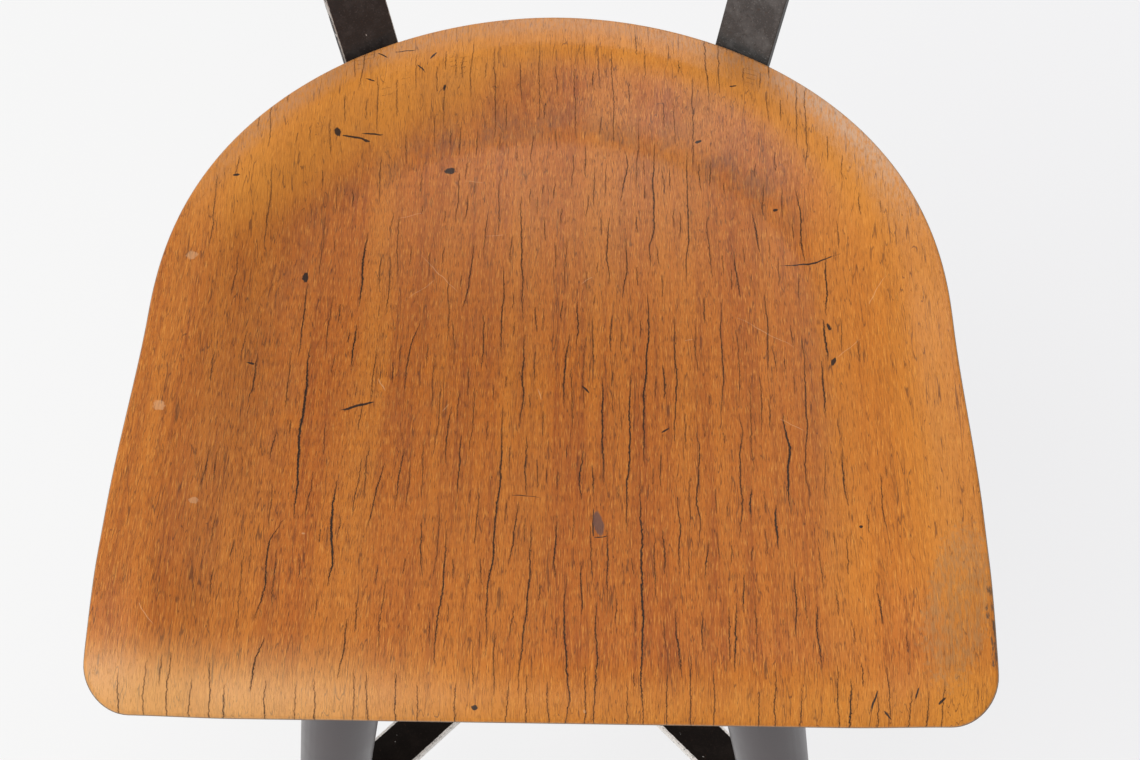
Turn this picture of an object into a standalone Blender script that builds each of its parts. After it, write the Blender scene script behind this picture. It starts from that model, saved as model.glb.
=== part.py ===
"""Drafting chair: a dished plywood seat and a curved backrest on two flat-bar rails.

The seat swivels on a ball race and is raised by a handwheel nut on a keyed screw spindle.
Four splayed tubular legs stand round the spindle, braced by a crossed flat-bar stretcher.

Metres, +Z up, front towards -Y. Pieces are modelled about the spindle axis and hang from
empties that stand on it, so the origin is under the middle of the whole chair, on the floor.
"""
import math

import bmesh
import bpy
from mathutils import Matrix, Vector

# ------------------------------------------------------------------ driving dimensions
GAP = 0.0003  # left between pieces that touch
BORE_GAP = 0.0003  # radial clearance of running fits

SEAT_HEIGHT = 0.620  # side rim above the floor
SEAT_HALF_WIDTH = 0.2043
SEAT_WAIST = 0.2011  # half width level with the spindle
SEAT_BACK = 0.189  # round rear rim behind the spindle
SEAT_FRONT = 0.201  # straight front edge ahead of the spindle
SEAT_CORNER = 0.021
PLY_THICKNESS = 0.011
DISH_DEPTH = 0.014  # flat seat floor below the side rim
BACK_RISE = 0.013  # rear rim above the side rim
FRONT_SINK = 0.009  # front ends of the side rims below their middles
RIM_FLANGE = 0.018
DISH_SLOPE = 0.050
LIP_START = 0.172  # where the front edge starts to roll down
LIP_DROP = 0.010

SPINDLE_RADIUS = 0.014
JOURNAL_RADIUS = 0.010
KEY_WIDTH = 0.005

LEG_FOOT_SPREAD = 0.188  # leg centre from the spindle at the floor, along X and along Y
LEG_SPLAY = 0.165  # how much that shrinks for each metre of height
LEG_TOP = 0.465
LEG_BOTTOM = 0.012
LEG_TOP_RADIUS = 0.024
LEG_BOTTOM_RADIUS = 0.017
LEG_WALL = 0.002
FOOT_RADIUS = 0.019

BAR_WIDTH = 0.030  # of the stretcher bars
RAIL_WIDTH = 0.032  # of the rails and front arms
RAIL_THICKNESS = 0.005
RAIL_HEADING = math.radians(31.2)  # of each rail, from straight back
RAIL_LEAN = math.radians(20.0)
RAIL_RADIUS = 0.2471  # upright top of a rail, from the spindle
RAIL_TOP = 0.940
RAIL_AT_RIM = (0.1990, 0.632)  # (distance, height) where a rail passes the seat's rear rim
ELBOW_RADIUS = 0.040  # of the bend under the seat
KNEE_RADIUS = 0.100  # of the bend below the backrest
ARM_HEADING = math.radians(40.0)  # of each front arm, from straight ahead
ARM_END = 0.138
CARRIER_START = 0.032  # inner end of every rail and arm
CARRIER_BOLT = 0.056  # its bolt, from the spindle
SEAT_SCREWS = {"inner": 0.084, "outer": 0.110}  # its two seat screws

CROSS_THICKNESS = 0.006
CROSS_HEIGHT = 0.252  # middle of the stretcher bars

BACKREST_HEIGHT = 0.150
BACKREST_CENTRE = 0.885
BACKREST_HALF_ANGLE = math.radians(44.0)
BACKREST_THICKNESS = 0.010
BACKREST_CORNER = 0.040
BACKREST_TRAVEL = 0.025  # up and down in the rail slots

ROUND_STEPS = 28  # sides of a turned piece
SCREW_STEPS = 10  # sides of a small screw

# ------------------------------------------------------------------ heights worked out from them
SEAT_FLOOR = SEAT_HEIGHT - DISH_DEPTH
SEAT_UNDERSIDE = SEAT_FLOOR - PLY_THICKNESS
CARRIER_TOP = SEAT_UNDERSIDE - 0.007
CARRIER_BOTTOM = CARRIER_TOP - RAIL_THICKNESS
SOCKET_TOP = CARRIER_BOTTOM - GAP
SOCKET_FLANGE_BOTTOM = SOCKET_TOP - 0.006
NUT_SEAT = SOCKET_TOP - 0.0055  # floor of the recess that takes the journal's nut
SOCKET_BOTTOM = 0.540
SHOULDER = 0.545  # where the spindle steps down to its journal
RACE_HEIGHT = 0.004
BALL_RADIUS = 0.004
BALL_CIRCLE = 0.0168
LOWER_RACE_BOTTOM = SHOULDER + GAP
BALL_HEIGHT = LOWER_RACE_BOTTOM + RACE_HEIGHT + GAP + BALL_RADIUS
UPPER_RACE_BOTTOM = BALL_HEIGHT + BALL_RADIUS + GAP
SOCKET_ROOF = UPPER_RACE_BOTTOM + RACE_HEIGHT + GAP

SPIDER_BOTTOM = LEG_TOP + GAP
SPIDER_TOP = SPIDER_BOTTOM + 0.008
HUB_TOP = SPIDER_TOP + 0.005
HUB_BOTTOM = 0.3985
HUB_RADIUS = 0.026
WASHER_BOTTOM = HUB_TOP + GAP
WASHER_TOP = WASHER_BOTTOM + 0.0015
WHEEL_BOTTOM = WASHER_TOP + GAP
SPINDLE_BOTTOM = 0.286

BACKREST_OUTER = RAIL_RADIUS - RAIL_THICKNESS / 2 - GAP
BACKREST_INNER = BACKREST_OUTER - BACKREST_THICKNESS
RAIL_BACK_FACE = RAIL_RADIUS + RAIL_THICKNESS / 2

# The chair's middle lies between its backmost and frontmost points.
REACH_BACK = BACKREST_OUTER
REACH_FRONT = LEG_FOOT_SPREAD + FOOT_RADIUS
SPINDLE_Y = (REACH_FRONT - REACH_BACK) / 2

DIAGONALS = {
    "front_left": (-1, -1),
    "front_right": (1, -1),
    "rear_left": (-1, 1),
    "rear_right": (1, 1),
}
QUARTERS = [math.radians(90.0 * turn) for turn in range(4)]
SIDES = {"left": -1, "right": 1}
CARRIERS = {
    "rear_left": math.pi / 2 + RAIL_HEADING,
    "rear_right": math.pi / 2 - RAIL_HEADING,
    "front_left": -math.pi / 2 - ARM_HEADING,
    "front_right": -math.pi / 2 + ARM_HEADING,
}


# ------------------------------------------------------------------ materials
def make_finish(name, colour, roughness, metallic=0.0):
    """A plain material with one colour."""
    finish = bpy.data.materials.new(name)
    finish.use_nodes = True
    shader = finish.node_tree.nodes["Principled BSDF"]
    shader.inputs["Base Color"].default_value = (*colour, 1.0)
    shader.inputs["Roughness"].default_value = roughness
    shader.inputs["Metallic"].default_value = metallic
    finish.diffuse_color = (*colour, 1.0)
    return finish


def plywood(name):
    """Warm orange-brown varnished veneer."""
    return make_finish(name, (0.50, 0.16, 0.035), 0.45)


def black_paint(name):
    """Old satin black enamel on steel."""
    return make_finish(name, (0.020, 0.018, 0.017), 0.45)


def grey_enamel(name):
    """Satin warm-grey enamel on the legs."""
    return make_finish(name, (0.135, 0.115, 0.118), 0.40)


def bare_steel(name):
    """Machined steel."""
    return make_finish(name, (0.45, 0.44, 0.42), 0.35, 1.0)


def zinc_steel(name):
    """Plated fasteners."""
    return make_finish(name, (0.52, 0.51, 0.48), 0.32, 1.0)


def soft_rubber(name):
    """Black rubber."""
    return make_finish(name, (0.025, 0.024, 0.024), 0.80)


def yellow_brass(name):
    """Plain brass."""
    return make_finish(name, (0.62, 0.42, 0.16), 0.30, 1.0)


def plain_wood(name):
    """Unvarnished plywood under the seat."""
    return make_finish(name, (0.42, 0.24, 0.11), 0.75)


def dark_bakelite(name):
    """Moulded black bakelite."""
    return make_finish(name, (0.018, 0.015, 0.014), 0.30)


# ------------------------------------------------------------------ building tools
def smooth_step(value):
    """Ease from 0 to 1 as value goes from 0 to 1."""
    value = min(max(value, 0.0), 1.0)
    return value * value * (3.0 - 2.0 * value)


def heading_vector(angle):
    """Unit vector in plan, at an angle from +X."""
    return Vector((math.cos(angle), math.sin(angle), 0.0))


def place_empty(name, location, parent=None):
    """A marker that pieces hang from."""
    marker = bpy.data.objects.new(name, None)
    marker.location = location
    marker.parent = parent
    bpy.context.collection.objects.link(marker)
    return marker


def make_object(name, mesh_data, parent, finish=None, shade_angle=None, place=None):
    """Turn a finished bmesh into an object; the bmesh is freed."""
    bmesh.ops.recalc_face_normals(mesh_data, faces=mesh_data.faces)
    mesh = bpy.data.meshes.new(name)
    mesh_data.to_mesh(mesh)
    mesh_data.free()
    piece = bpy.data.objects.new(name, mesh)
    bpy.context.collection.objects.link(piece)
    piece.parent = parent
    if place is not None:
        piece.matrix_local = place
    if finish is not None:
        mesh.materials.append(finish(name))
    if shade_angle is not None:
        mesh.shade_smooth()
        mesh.set_sharp_from_angle(angle=math.radians(shade_angle))
    return piece


def combine(piece, label, tool_data, operation="DIFFERENCE", place=None):
    """Cut a piece with, or add to it, the solids of a tool bmesh."""
    tool = make_object(piece.name + "_" + label, tool_data, piece.parent, place=place)
    tool.hide_render = True
    tool.display_type = "WIRE"
    change = piece.modifiers.new(label, "BOOLEAN")
    change.operation = operation
    change.object = tool


def turn_profile(mesh_data, profile, steps=32, place=Matrix.Identity(4), lobes=0, lobe_depth=0.0):
    """Turn a profile of (radius, height) points about Z into a closed solid.

    A profile that starts and ends on the axis makes a solid piece, any other a ring.
    Lobes swell the points outside two thirds of the greatest radius.
    """
    widest = max(radius for radius, height in profile)
    rows = []
    for radius, height in profile:
        if radius == 0.0:
            rows.append([mesh_data.verts.new(place @ Vector((0.0, 0.0, height)))])
            continue
        row = []
        for step in range(steps):
            angle = math.tau * step / steps
            swell = lobe_depth * math.cos(lobes * angle) if radius > widest * 2 / 3 else 0.0
            point = heading_vector(angle) * (radius + swell)
            point.z = height
            row.append(mesh_data.verts.new(place @ point))
        rows.append(row)
    pairs = list(zip(rows, rows[1:]))
    if profile[0][0] > 0.0:
        pairs.append((rows[-1], rows[0]))
    for lower, upper in pairs:
        for step in range(steps):
            after = step + 1
            corners = [lower[step % len(lower)], lower[after % len(lower)]]
            corners += [upper[after % len(upper)], upper[step % len(upper)]]
            mesh_data.faces.new(list(dict.fromkeys(corners)))


def add_rod(mesh_data, radius, low, high, steps=16, place=Matrix.Identity(4)):
    """A plain cylinder along Z."""
    profile = [(0.0, low), (radius, low), (radius, high), (0.0, high)]
    turn_profile(mesh_data, profile, steps, place)


def add_ring(mesh_data, inner, outer, low, high, steps=32, place=Matrix.Identity(4)):
    """A plain washer shape about Z."""
    profile = [(inner, low), (outer, low), (outer, high), (inner, high)]
    turn_profile(mesh_data, profile, steps, place)


def add_block(mesh_data, low, high, place=Matrix.Identity(4)):
    """A box between two corners."""
    size = Vector(high) - Vector(low)
    middle = (Vector(high) + Vector(low)) / 2
    shape = Matrix.Translation(middle) @ Matrix.Diagonal((*size, 1.0))
    bmesh.ops.create_cube(mesh_data, size=1.0, matrix=place @ shape)


def add_prism(mesh_data, outline, low, high, place=Matrix.Identity(4)):
    """An outline of (x, y) points, raised from one height to another."""
    bottom = [mesh_data.verts.new(place @ Vector((x, y, low))) for x, y in outline]
    top = [mesh_data.verts.new(place @ Vector((x, y, high))) for x, y in outline]
    mesh_data.faces.new(bottom[::-1])
    mesh_data.faces.new(top)
    for index in range(len(outline)):
        after = (index + 1) % len(outline)
        mesh_data.faces.new([bottom[index], bottom[after], top[after], top[index]])


def round_corners(points, radii, steps):
    """Replace the inner corners of a path in a plane with arcs."""
    path = [Vector(points[0])]
    for before, corner, after, radius in zip(points, points[1:], points[2:], radii):
        corner = Vector(corner)
        inward = (corner - Vector(before)).normalized()
        outward = (Vector(after) - corner).normalized()
        turn = inward.angle_signed(outward)
        reach = radius * math.tan(abs(turn) / 2)
        start = corner - inward * reach
        side = Vector((inward.y, -inward.x)) * math.copysign(1.0, turn)
        centre = start + side * radius
        for step in range(steps + 1):
            swing = Matrix.Rotation(-turn * step / steps, 2)
            path.append(centre + swing @ (start - centre))
    path.append(Vector(points[-1]))
    return path


def sweep_bar(mesh_data, path, thickness, heading, half_widths):
    """Sweep a flat bar along (distance, height) points in the upright plane of a heading."""
    forward = heading_vector(heading)
    across = Vector((-forward.y, forward.x, 0.0))
    rows = []
    for index, point in enumerate(path):
        before = path[max(index - 1, 0)]
        after = path[min(index + 1, len(path) - 1)]
        run = ((point - before).normalized() + (after - point).normalized()).normalized()
        step = (after - point) if index < len(path) - 1 else (point - before)
        miter = max(run.dot(step.normalized()), 0.5)
        normal = Vector((-run.y, run.x)) * thickness / 2 / miter
        row = []
        for side, face in ((-1, -1), (1, -1), (1, 1), (-1, 1)):
            distance, height = point + normal * face
            corner = forward * distance + across * side * half_widths[index]
            corner.z = height
            row.append(mesh_data.verts.new(corner))
        rows.append(row)
    for lower, upper in zip(rows, rows[1:]):
        for side in range(4):
            after = (side + 1) % 4
            mesh_data.faces.new([lower[side], lower[after], upper[after], upper[side]])
    mesh_data.faces.new(rows[0])
    mesh_data.faces.new(rows[-1][::-1])


def round_tip(path, half_width, steps=6):
    """Extra path points and half widths that give the far end of a bar a round tip."""
    end = path[-1]
    run = (end - path[-2]).normalized()
    body = path[:-1]
    half_widths = [half_width] * len(body)
    for step in range(steps + 1):
        angle = math.radians(78.0) * step / steps
        body.append(end - run * half_width * (1.0 - math.sin(angle)))
        half_widths.append(half_width * math.cos(angle))
    return body, half_widths


def close_shell(mesh_data, rows):
    """Skin a closed set of rings: neighbours are bridged, and both end rings shrink to a point."""
    for lower, upper in zip(rows, rows[1:]):
        count = max(len(lower), len(upper))
        for index in range(count):
            after = index + 1
            corners = [lower[index % len(lower)], lower[after % len(lower)]]
            corners += [upper[after % len(upper)], upper[index % len(upper)]]
            mesh_data.faces.new(list(dict.fromkeys(corners)))


def upright_at(heading, distance, height):
    """Local axes with Z pointing along a heading, out from the spindle."""
    forward = heading_vector(heading)
    across = Vector((-forward.y, forward.x, 0.0))
    frame = Matrix((across, Vector((0.0, 0.0, 1.0)), forward)).transposed().to_4x4()
    place = forward * distance
    place.z = height
    return Matrix.Translation(place) @ frame


def plan_at(heading, distance, across=0.0):
    """Upright local axes at a distance out along a heading, and off to one side."""
    place = Vector((distance, across, 0.0))
    return Matrix.Rotation(heading, 4, "Z") @ Matrix.Translation(place)


# ------------------------------------------------------------------ legs and feet
def leg_spread(height):
    """Distance of a leg's centre from the spindle, along X and along Y."""
    return LEG_FOOT_SPREAD - LEG_SPLAY * height


def leg_radius(height):
    """Outer radius of a leg."""
    share = (height - LEG_BOTTOM) / (LEG_TOP - LEG_BOTTOM)
    return LEG_BOTTOM_RADIUS + share * (LEG_TOP_RADIUS - LEG_BOTTOM_RADIUS)


def leg_heading(corner):
    """Direction of a leg from the spindle, in plan."""
    return math.atan2(corner[1], corner[0])


def leg_tilt():
    """Angle of a leg from upright."""
    return math.atan(LEG_SPLAY * math.sqrt(2.0))


def leg_ring(mesh_data, corner, height, radius, steps):
    """One level ring round a tilted leg's axis: an ellipse, long in the direction of the tilt."""
    outward = heading_vector(leg_heading(corner))
    across = Vector((-outward.y, outward.x, 0.0))
    centre = Vector((corner[0], corner[1], 0.0)) * leg_spread(height)
    centre.z = height
    ring = []
    for step in range(steps):
        angle = math.tau * step / steps
        stretch = outward * math.cos(angle) / math.cos(leg_tilt())
        ring.append(mesh_data.verts.new(centre + (stretch + across * math.sin(angle)) * radius))
    return ring


def add_leg_solid(mesh_data, corner, stations, steps):
    """A closed solid that follows a leg's tilt, from (height, radius) stations.

    The first and last stations with radius 0 close it; otherwise it closes on itself.
    """
    rows = []
    for height, radius in stations:
        if radius == 0.0:
            centre = Vector((corner[0], corner[1], 0.0)) * leg_spread(height)
            centre.z = height
            rows.append([mesh_data.verts.new(centre)])
        else:
            rows.append(leg_ring(mesh_data, corner, height, radius, steps))
    if stations[0][1] > 0.0:
        rows.append(rows[0])
    close_shell(mesh_data, rows)


def tab_bolt_height():
    """Where the stretcher's bolt crosses a leg's axis."""
    return CROSS_HEIGHT - 0.026


def tab_bolt_place(corner):
    """Axes at a leg's stretcher bolt, Z pointing out and square to the leg."""
    height = tab_bolt_height()
    distance = leg_spread(height) * math.sqrt(2.0)
    place = upright_at(leg_heading(corner), distance, height)
    return place @ Matrix.Rotation(-leg_tilt(), 4, "X")


def leg_screw_place(corner):
    """Axes at the screw near a leg's top, Z pointing out and square to the leg."""
    height = LEG_TOP - 0.012
    distance = leg_spread(height) * math.sqrt(2.0)
    place = upright_at(leg_heading(corner), distance, height)
    return place @ Matrix.Rotation(-leg_tilt(), 4, "X")


def make_leg(name, corner, parent):
    """Tapered steel tube, its ends cut level, with holes for its two bolts."""
    inner_bottom = leg_radius(LEG_BOTTOM) - LEG_WALL
    inner_top = leg_radius(LEG_TOP) - LEG_WALL
    stations = [(LEG_BOTTOM, leg_radius(LEG_BOTTOM)), (LEG_TOP, leg_radius(LEG_TOP))]
    stations += [(LEG_TOP, inner_top), (LEG_BOTTOM, inner_bottom)]
    tube = bmesh.new()
    add_leg_solid(tube, corner, stations, ROUND_STEPS)
    leg = make_object("leg_" + name, tube, parent, grey_enamel, 40)
    holes = bmesh.new()
    add_rod(holes, 0.0033, -0.030, 0.030, 12, tab_bolt_place(corner))
    add_rod(holes, 0.0033, 0.010, 0.030, 12, leg_screw_place(corner))
    combine(leg, "holes", holes)


def make_foot(name, corner, parent):
    """Rubber foot: a tread under the tube's end and a spigot up inside it."""
    tread_top = LEG_BOTTOM - GAP
    spigot = LEG_BOTTOM_RADIUS - LEG_WALL - GAP
    stations = [(0.0, 0.0), (0.0, FOOT_RADIUS - 0.002), (0.002, FOOT_RADIUS)]
    stations += [(tread_top - 0.002, FOOT_RADIUS), (tread_top, FOOT_RADIUS - 0.0015)]
    stations += [(tread_top, spigot), (0.030, spigot), (0.030, 0.0)]
    rubber = bmesh.new()
    add_leg_solid(rubber, corner, stations, 20)
    make_object("foot_" + name, rubber, parent, soft_rubber, 40)


def add_dome_screw(mesh_data, radius, head_radius, seat, tip, place):
    """A round-headed screw from its tip up to the face that its head sits on."""
    profile = [(0.0, tip), (radius, tip), (radius, seat), (head_radius, seat)]
    profile += [(head_radius * 0.95, seat + head_radius * 0.23)]
    profile += [(head_radius * 0.62, seat + head_radius * 0.49), (0.0, seat + head_radius * 0.58)]
    turn_profile(mesh_data, profile, SCREW_STEPS, place)


def make_leg_screw(name, corner, parent):
    """Screw through a leg's wall into the spider's spigot."""
    screw = bmesh.new()
    seat = leg_radius(LEG_TOP - 0.012) + 0.0004
    add_dome_screw(screw, 0.003, 0.006, seat, 0.012, leg_screw_place(corner))
    make_object("leg_screw_" + name, screw, parent, zinc_steel, 40)


def add_hex_headed(mesh_data, profile, head_from, place):
    """Turn a bolt profile whose points wider than head_from form a hexagon."""
    steps = 12
    rows = []
    for radius, height in profile:
        if radius == 0.0:
            rows.append([mesh_data.verts.new(place @ Vector((0.0, 0.0, height)))])
            continue
        row = []
        for step in range(steps):
            angle = math.tau * step / steps
            flat = math.cos(math.radians(30.0)) if step % 2 and radius > head_from else 1.0
            point = heading_vector(angle) * radius * flat
            point.z = height
            row.append(mesh_data.verts.new(place @ point))
        rows.append(row)
    if profile[0][0] > 0.0:
        rows.append(rows[0])
    close_shell(mesh_data, rows)


# ------------------------------------------------------------------ spider and hub
def spider_outline():
    """Four arms with round ends, joined by curved valleys."""
    half_arm = 0.023
    shoulder = 0.062
    reach = leg_spread(LEG_TOP) * math.sqrt(2.0)
    outline = []
    for quarter in QUARTERS:
        heading = quarter + math.radians(45.0)
        forward = heading_vector(heading)
        across = Vector((-forward.y, forward.x, 0.0))
        for step in range(9):
            swing = math.radians(-90.0 + 180.0 * step / 8)
            point = forward * (reach + half_arm * math.cos(swing)) + across * half_arm * math.sin(swing)
            outline.append((point.x, point.y))
        valley = heading_vector(heading + math.radians(45.0)) * half_arm * math.sqrt(2.0)
        next_forward = heading_vector(heading + math.radians(90.0))
        next_across = Vector((-next_forward.y, next_forward.x, 0.0))
        start = forward * shoulder + across * half_arm
        end = next_forward * shoulder - next_across * half_arm
        for step in range(7):
            share = step / 6
            point = start.lerp(valley, share).lerp(valley.lerp(end, share), share)
            outline.append((point.x, point.y))
    return outline


def add_ribs(mesh_data):
    """Upright ribs under the spider's arms."""
    top = SPIDER_BOTTOM + 0.002
    inner = HUB_RADIUS - 0.004
    outline = [(inner, top - 0.056), (inner + 0.016, top - 0.056), (0.124, top - 0.013)]
    outline += [(0.128, top), (inner, top)]
    for corner in DIAGONALS.values():
        frame = Matrix.Rotation(leg_heading(corner), 4, "Z") @ Matrix.Rotation(math.pi / 2, 4, "X")
        add_prism(mesh_data, outline, -0.003, 0.003, frame)


def add_spigots(mesh_data):
    """Round plugs under the spider's arms that fill the leg tops."""
    bottom = LEG_TOP - 0.022
    inside = leg_radius(bottom) - LEG_WALL - GAP
    for corner in DIAGONALS.values():
        stations = [(bottom, 0.0), (bottom, inside), (SPIDER_BOTTOM + 0.002, inside)]
        stations += [(SPIDER_BOTTOM + 0.002, 0.0)]
        add_leg_solid(mesh_data, corner, stations, 20)


def key_block(mesh_data, inner, outer, half_width, low, high):
    """The block that a key, or the slot for it, takes on the spindle's right."""
    add_block(mesh_data, (inner, -half_width, low), (outer, half_width, high))


def make_spider(parent):
    """Cast spider: four ribbed arms round a bored hub, with a spigot for each leg."""
    plate = bmesh.new()
    add_prism(plate, spider_outline(), SPIDER_BOTTOM, SPIDER_TOP)
    spider = make_object("top_spider", plate, parent, black_paint, 30)
    hub = bmesh.new()
    profile = [(0.0, HUB_BOTTOM), (HUB_RADIUS - 0.002, HUB_BOTTOM), (HUB_RADIUS, HUB_BOTTOM + 0.002)]
    profile += [(HUB_RADIUS, HUB_TOP - 0.001), (HUB_RADIUS - 0.001, HUB_TOP), (0.0, HUB_TOP)]
    turn_profile(hub, profile, ROUND_STEPS)
    combine(spider, "hub", hub, "UNION")
    ribs = bmesh.new()
    add_ribs(ribs)
    combine(spider, "ribs", ribs, "UNION")
    spigots = bmesh.new()
    add_spigots(spigots)
    combine(spider, "spigots", spigots, "UNION")
    bore = bmesh.new()
    add_rod(bore, SPINDLE_RADIUS + BORE_GAP, HUB_BOTTOM - 0.010, HUB_TOP + 0.010, ROUND_STEPS)
    combine(spider, "bore", bore)
    holes = bmesh.new()
    key_block(holes, 0.010, 0.0188, KEY_WIDTH / 2 + GAP, 0.4197, 0.4603)
    for corner in DIAGONALS.values():
        add_rod(holes, 0.0033, 0.0115, 0.030, 12, leg_screw_place(corner))
    combine(spider, "holes", holes)


def make_key(parent):
    """Steel key in the hub that keeps the spindle from turning."""
    key = bmesh.new()
    key_block(key, 0.0116, 0.0185, KEY_WIDTH / 2, 0.420, 0.460)
    make_object("spindle_key", key, parent, bare_steel)


def make_thrust_washer(parent):
    """Brass washer that the handwheel nut turns on."""
    washer = bmesh.new()
    add_ring(washer, SPINDLE_RADIUS + 0.0006, 0.0275, WASHER_BOTTOM, WASHER_TOP, ROUND_STEPS)
    make_object("thrust_washer", washer, parent, yellow_brass, 40)


# ------------------------------------------------------------------ crossed stretcher
def stretcher_path():
    """Middle line of one stretcher bar along its diagonal: tab, level run, tab."""
    tilt = leg_tilt()
    offset = leg_radius(CROSS_HEIGHT) + 2 * GAP + CROSS_THICKNESS / 2
    down = Vector((math.sin(tilt), -math.cos(tilt)))
    inward = Vector((-math.cos(tilt), -math.sin(tilt)))
    foot = Vector((leg_spread(0.0) * math.sqrt(2.0), 0.0)) + inward * offset
    corner = foot - down * ((CROSS_HEIGHT - foot.y) / math.cos(tilt))
    tip = corner + down * 0.043
    points = [(-tip.x, tip.y), (-corner.x, corner.y), (corner.x, corner.y), (tip.x, tip.y)]
    return round_corners(points, [0.009, 0.009], 6)


def make_stretcher_bar(name, heading, lap_side, parent):
    """One flat bar from leg to leg, halved where it crosses the other."""
    path = stretcher_path()
    profile = bmesh.new()
    sweep_bar(profile, path, CROSS_THICKNESS, heading, [BAR_WIDTH / 2] * len(path))
    bar = make_object(name, profile, parent, black_paint, 30)
    lap = bmesh.new()
    half_lap = BAR_WIDTH / 2 + GAP
    near = CROSS_HEIGHT - lap_side * GAP / 2
    far = CROSS_HEIGHT + lap_side * CROSS_THICKNESS
    low = (-half_lap, -BAR_WIDTH, min(near, far))
    high = (half_lap, BAR_WIDTH, max(near, far))
    add_block(lap, low, high, Matrix.Rotation(heading, 4, "Z"))
    combine(bar, "lap", lap)
    holes = bmesh.new()
    add_rod(holes, 0.0043, CROSS_HEIGHT - 0.010, CROSS_HEIGHT + 0.010, 14)
    for turn in (heading, heading + math.pi):
        corner = (math.copysign(1, math.cos(turn)), math.copysign(1, math.sin(turn)))
        add_rod(holes, 0.0033, -0.045, -0.010, 12, tab_bolt_place(corner))
    combine(bar, "holes", holes)


def make_cross_rivet(parent):
    """Rivet with a dome on each side, through the middle of the stretcher."""
    face = CROSS_THICKNESS / 2 + GAP
    dome = [(0.0040, face), (0.0080, face), (0.0072, face + 0.0025), (0.0045, face + 0.0045)]
    profile = [(radius, CROSS_HEIGHT + height) for radius, height in dome]
    profile.append((0.0, CROSS_HEIGHT + face + 0.0050))
    below = [(radius, 2 * CROSS_HEIGHT - height) for radius, height in profile[::-1]]
    rivet = bmesh.new()
    turn_profile(rivet, below + profile, SCREW_STEPS)
    make_object("cross_rivet", rivet, parent, black_paint, 40)


def make_tab_bolt(name, corner, parent):
    """Dome-headed bolt through a leg, screwed into the stretcher's tab."""
    bolt = bmesh.new()
    seat = leg_radius(tab_bolt_height()) + 0.0004
    tip = -(leg_radius(CROSS_HEIGHT) + 2 * GAP + CROSS_THICKNESS + 0.003)
    add_dome_screw(bolt, 0.003, 0.0068, seat, tip, tab_bolt_place(corner))
    make_object("tab_bolt_" + name, bolt, parent, zinc_steel, 40)


# ------------------------------------------------------------------ handwheel
def make_handwheel(parent):
    """Lobed bakelite handwheel with a brass nut pressed into it."""
    top = WHEEL_BOTTOM + 0.0215
    bore = 0.0193
    profile = [(bore, WHEEL_BOTTOM), (0.0300, WHEEL_BOTTOM), (0.0320, WHEEL_BOTTOM + 0.0060)]
    profile += [(0.0610, WHEEL_BOTTOM + 0.0060), (0.0680, WHEEL_BOTTOM + 0.0025)]
    profile += [(0.0770, WHEEL_BOTTOM + 0.0050), (0.0785, WHEEL_BOTTOM + 0.0125)]
    profile += [(0.0700, WHEEL_BOTTOM + 0.0175), (0.0610, WHEEL_BOTTOM + 0.0140)]
    profile += [(0.0330, WHEEL_BOTTOM + 0.0145), (0.0290, top), (bore, top)]
    wheel = bmesh.new()
    turn_profile(wheel, profile, 48, lobes=8, lobe_depth=0.0025)
    make_object("handwheel", wheel, parent, dark_bakelite, 40)
    nut = bmesh.new()
    add_ring(nut, SPINDLE_RADIUS + BORE_GAP, bore - GAP, WHEEL_BOTTOM, top + 0.001, ROUND_STEPS)
    make_object("nut_insert", nut, parent, yellow_brass, 40)


# ------------------------------------------------------------------ spindle and swivel
def make_spindle(parent):
    """Keyed screw spindle with a plain journal at the top; the thread's ridges are left off."""
    radius = SPINDLE_RADIUS
    top = CARRIER_BOTTOM + 0.001
    profile = [(0.0, SPINDLE_BOTTOM), (radius - 0.0015, SPINDLE_BOTTOM)]
    profile += [(radius, SPINDLE_BOTTOM + 0.0015), (radius, SHOULDER), (JOURNAL_RADIUS, SHOULDER)]
    profile += [(JOURNAL_RADIUS, top - 0.001), (JOURNAL_RADIUS - 0.001, top), (0.0, top)]
    rod = bmesh.new()
    turn_profile(rod, profile, ROUND_STEPS)
    slot = bmesh.new()
    key_block(slot, 0.0112, 0.020, KEY_WIDTH / 2 + GAP, SPINDLE_BOTTOM - 0.005, SHOULDER - 0.006)
    combine(make_object("spindle", rod, parent, bare_steel, 40), "keyway", slot)


def make_stop_collar(parent):
    """Collar at the spindle's foot that stops it leaving the hub, with its grub screw."""
    low = SPINDLE_BOTTOM + 0.002
    high = low + 0.010
    middle = (low + high) / 2
    collar = bmesh.new()
    add_ring(collar, SPINDLE_RADIUS + GAP, 0.0205, low, high, ROUND_STEPS)
    hole = bmesh.new()
    across = upright_at(math.pi, 0.0, middle)
    add_rod(hole, 0.0028, 0.010, 0.025, 12, across)
    combine(make_object("stop_collar", collar, parent, bare_steel, 40), "hole", hole)
    screw = bmesh.new()
    add_rod(screw, 0.0025, SPINDLE_RADIUS + GAP, 0.0203, 12, across)
    make_object("collar_screw", screw, parent, zinc_steel, 40)


def make_lower_race(parent):
    """Lower ring of the thrust bearing, on the spindle's shoulder."""
    ring = bmesh.new()
    low = LOWER_RACE_BOTTOM
    add_ring(ring, JOURNAL_RADIUS + GAP, 0.0230, low, low + RACE_HEIGHT, ROUND_STEPS)
    make_object("lower_race", ring, parent, bare_steel, 40)


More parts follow.
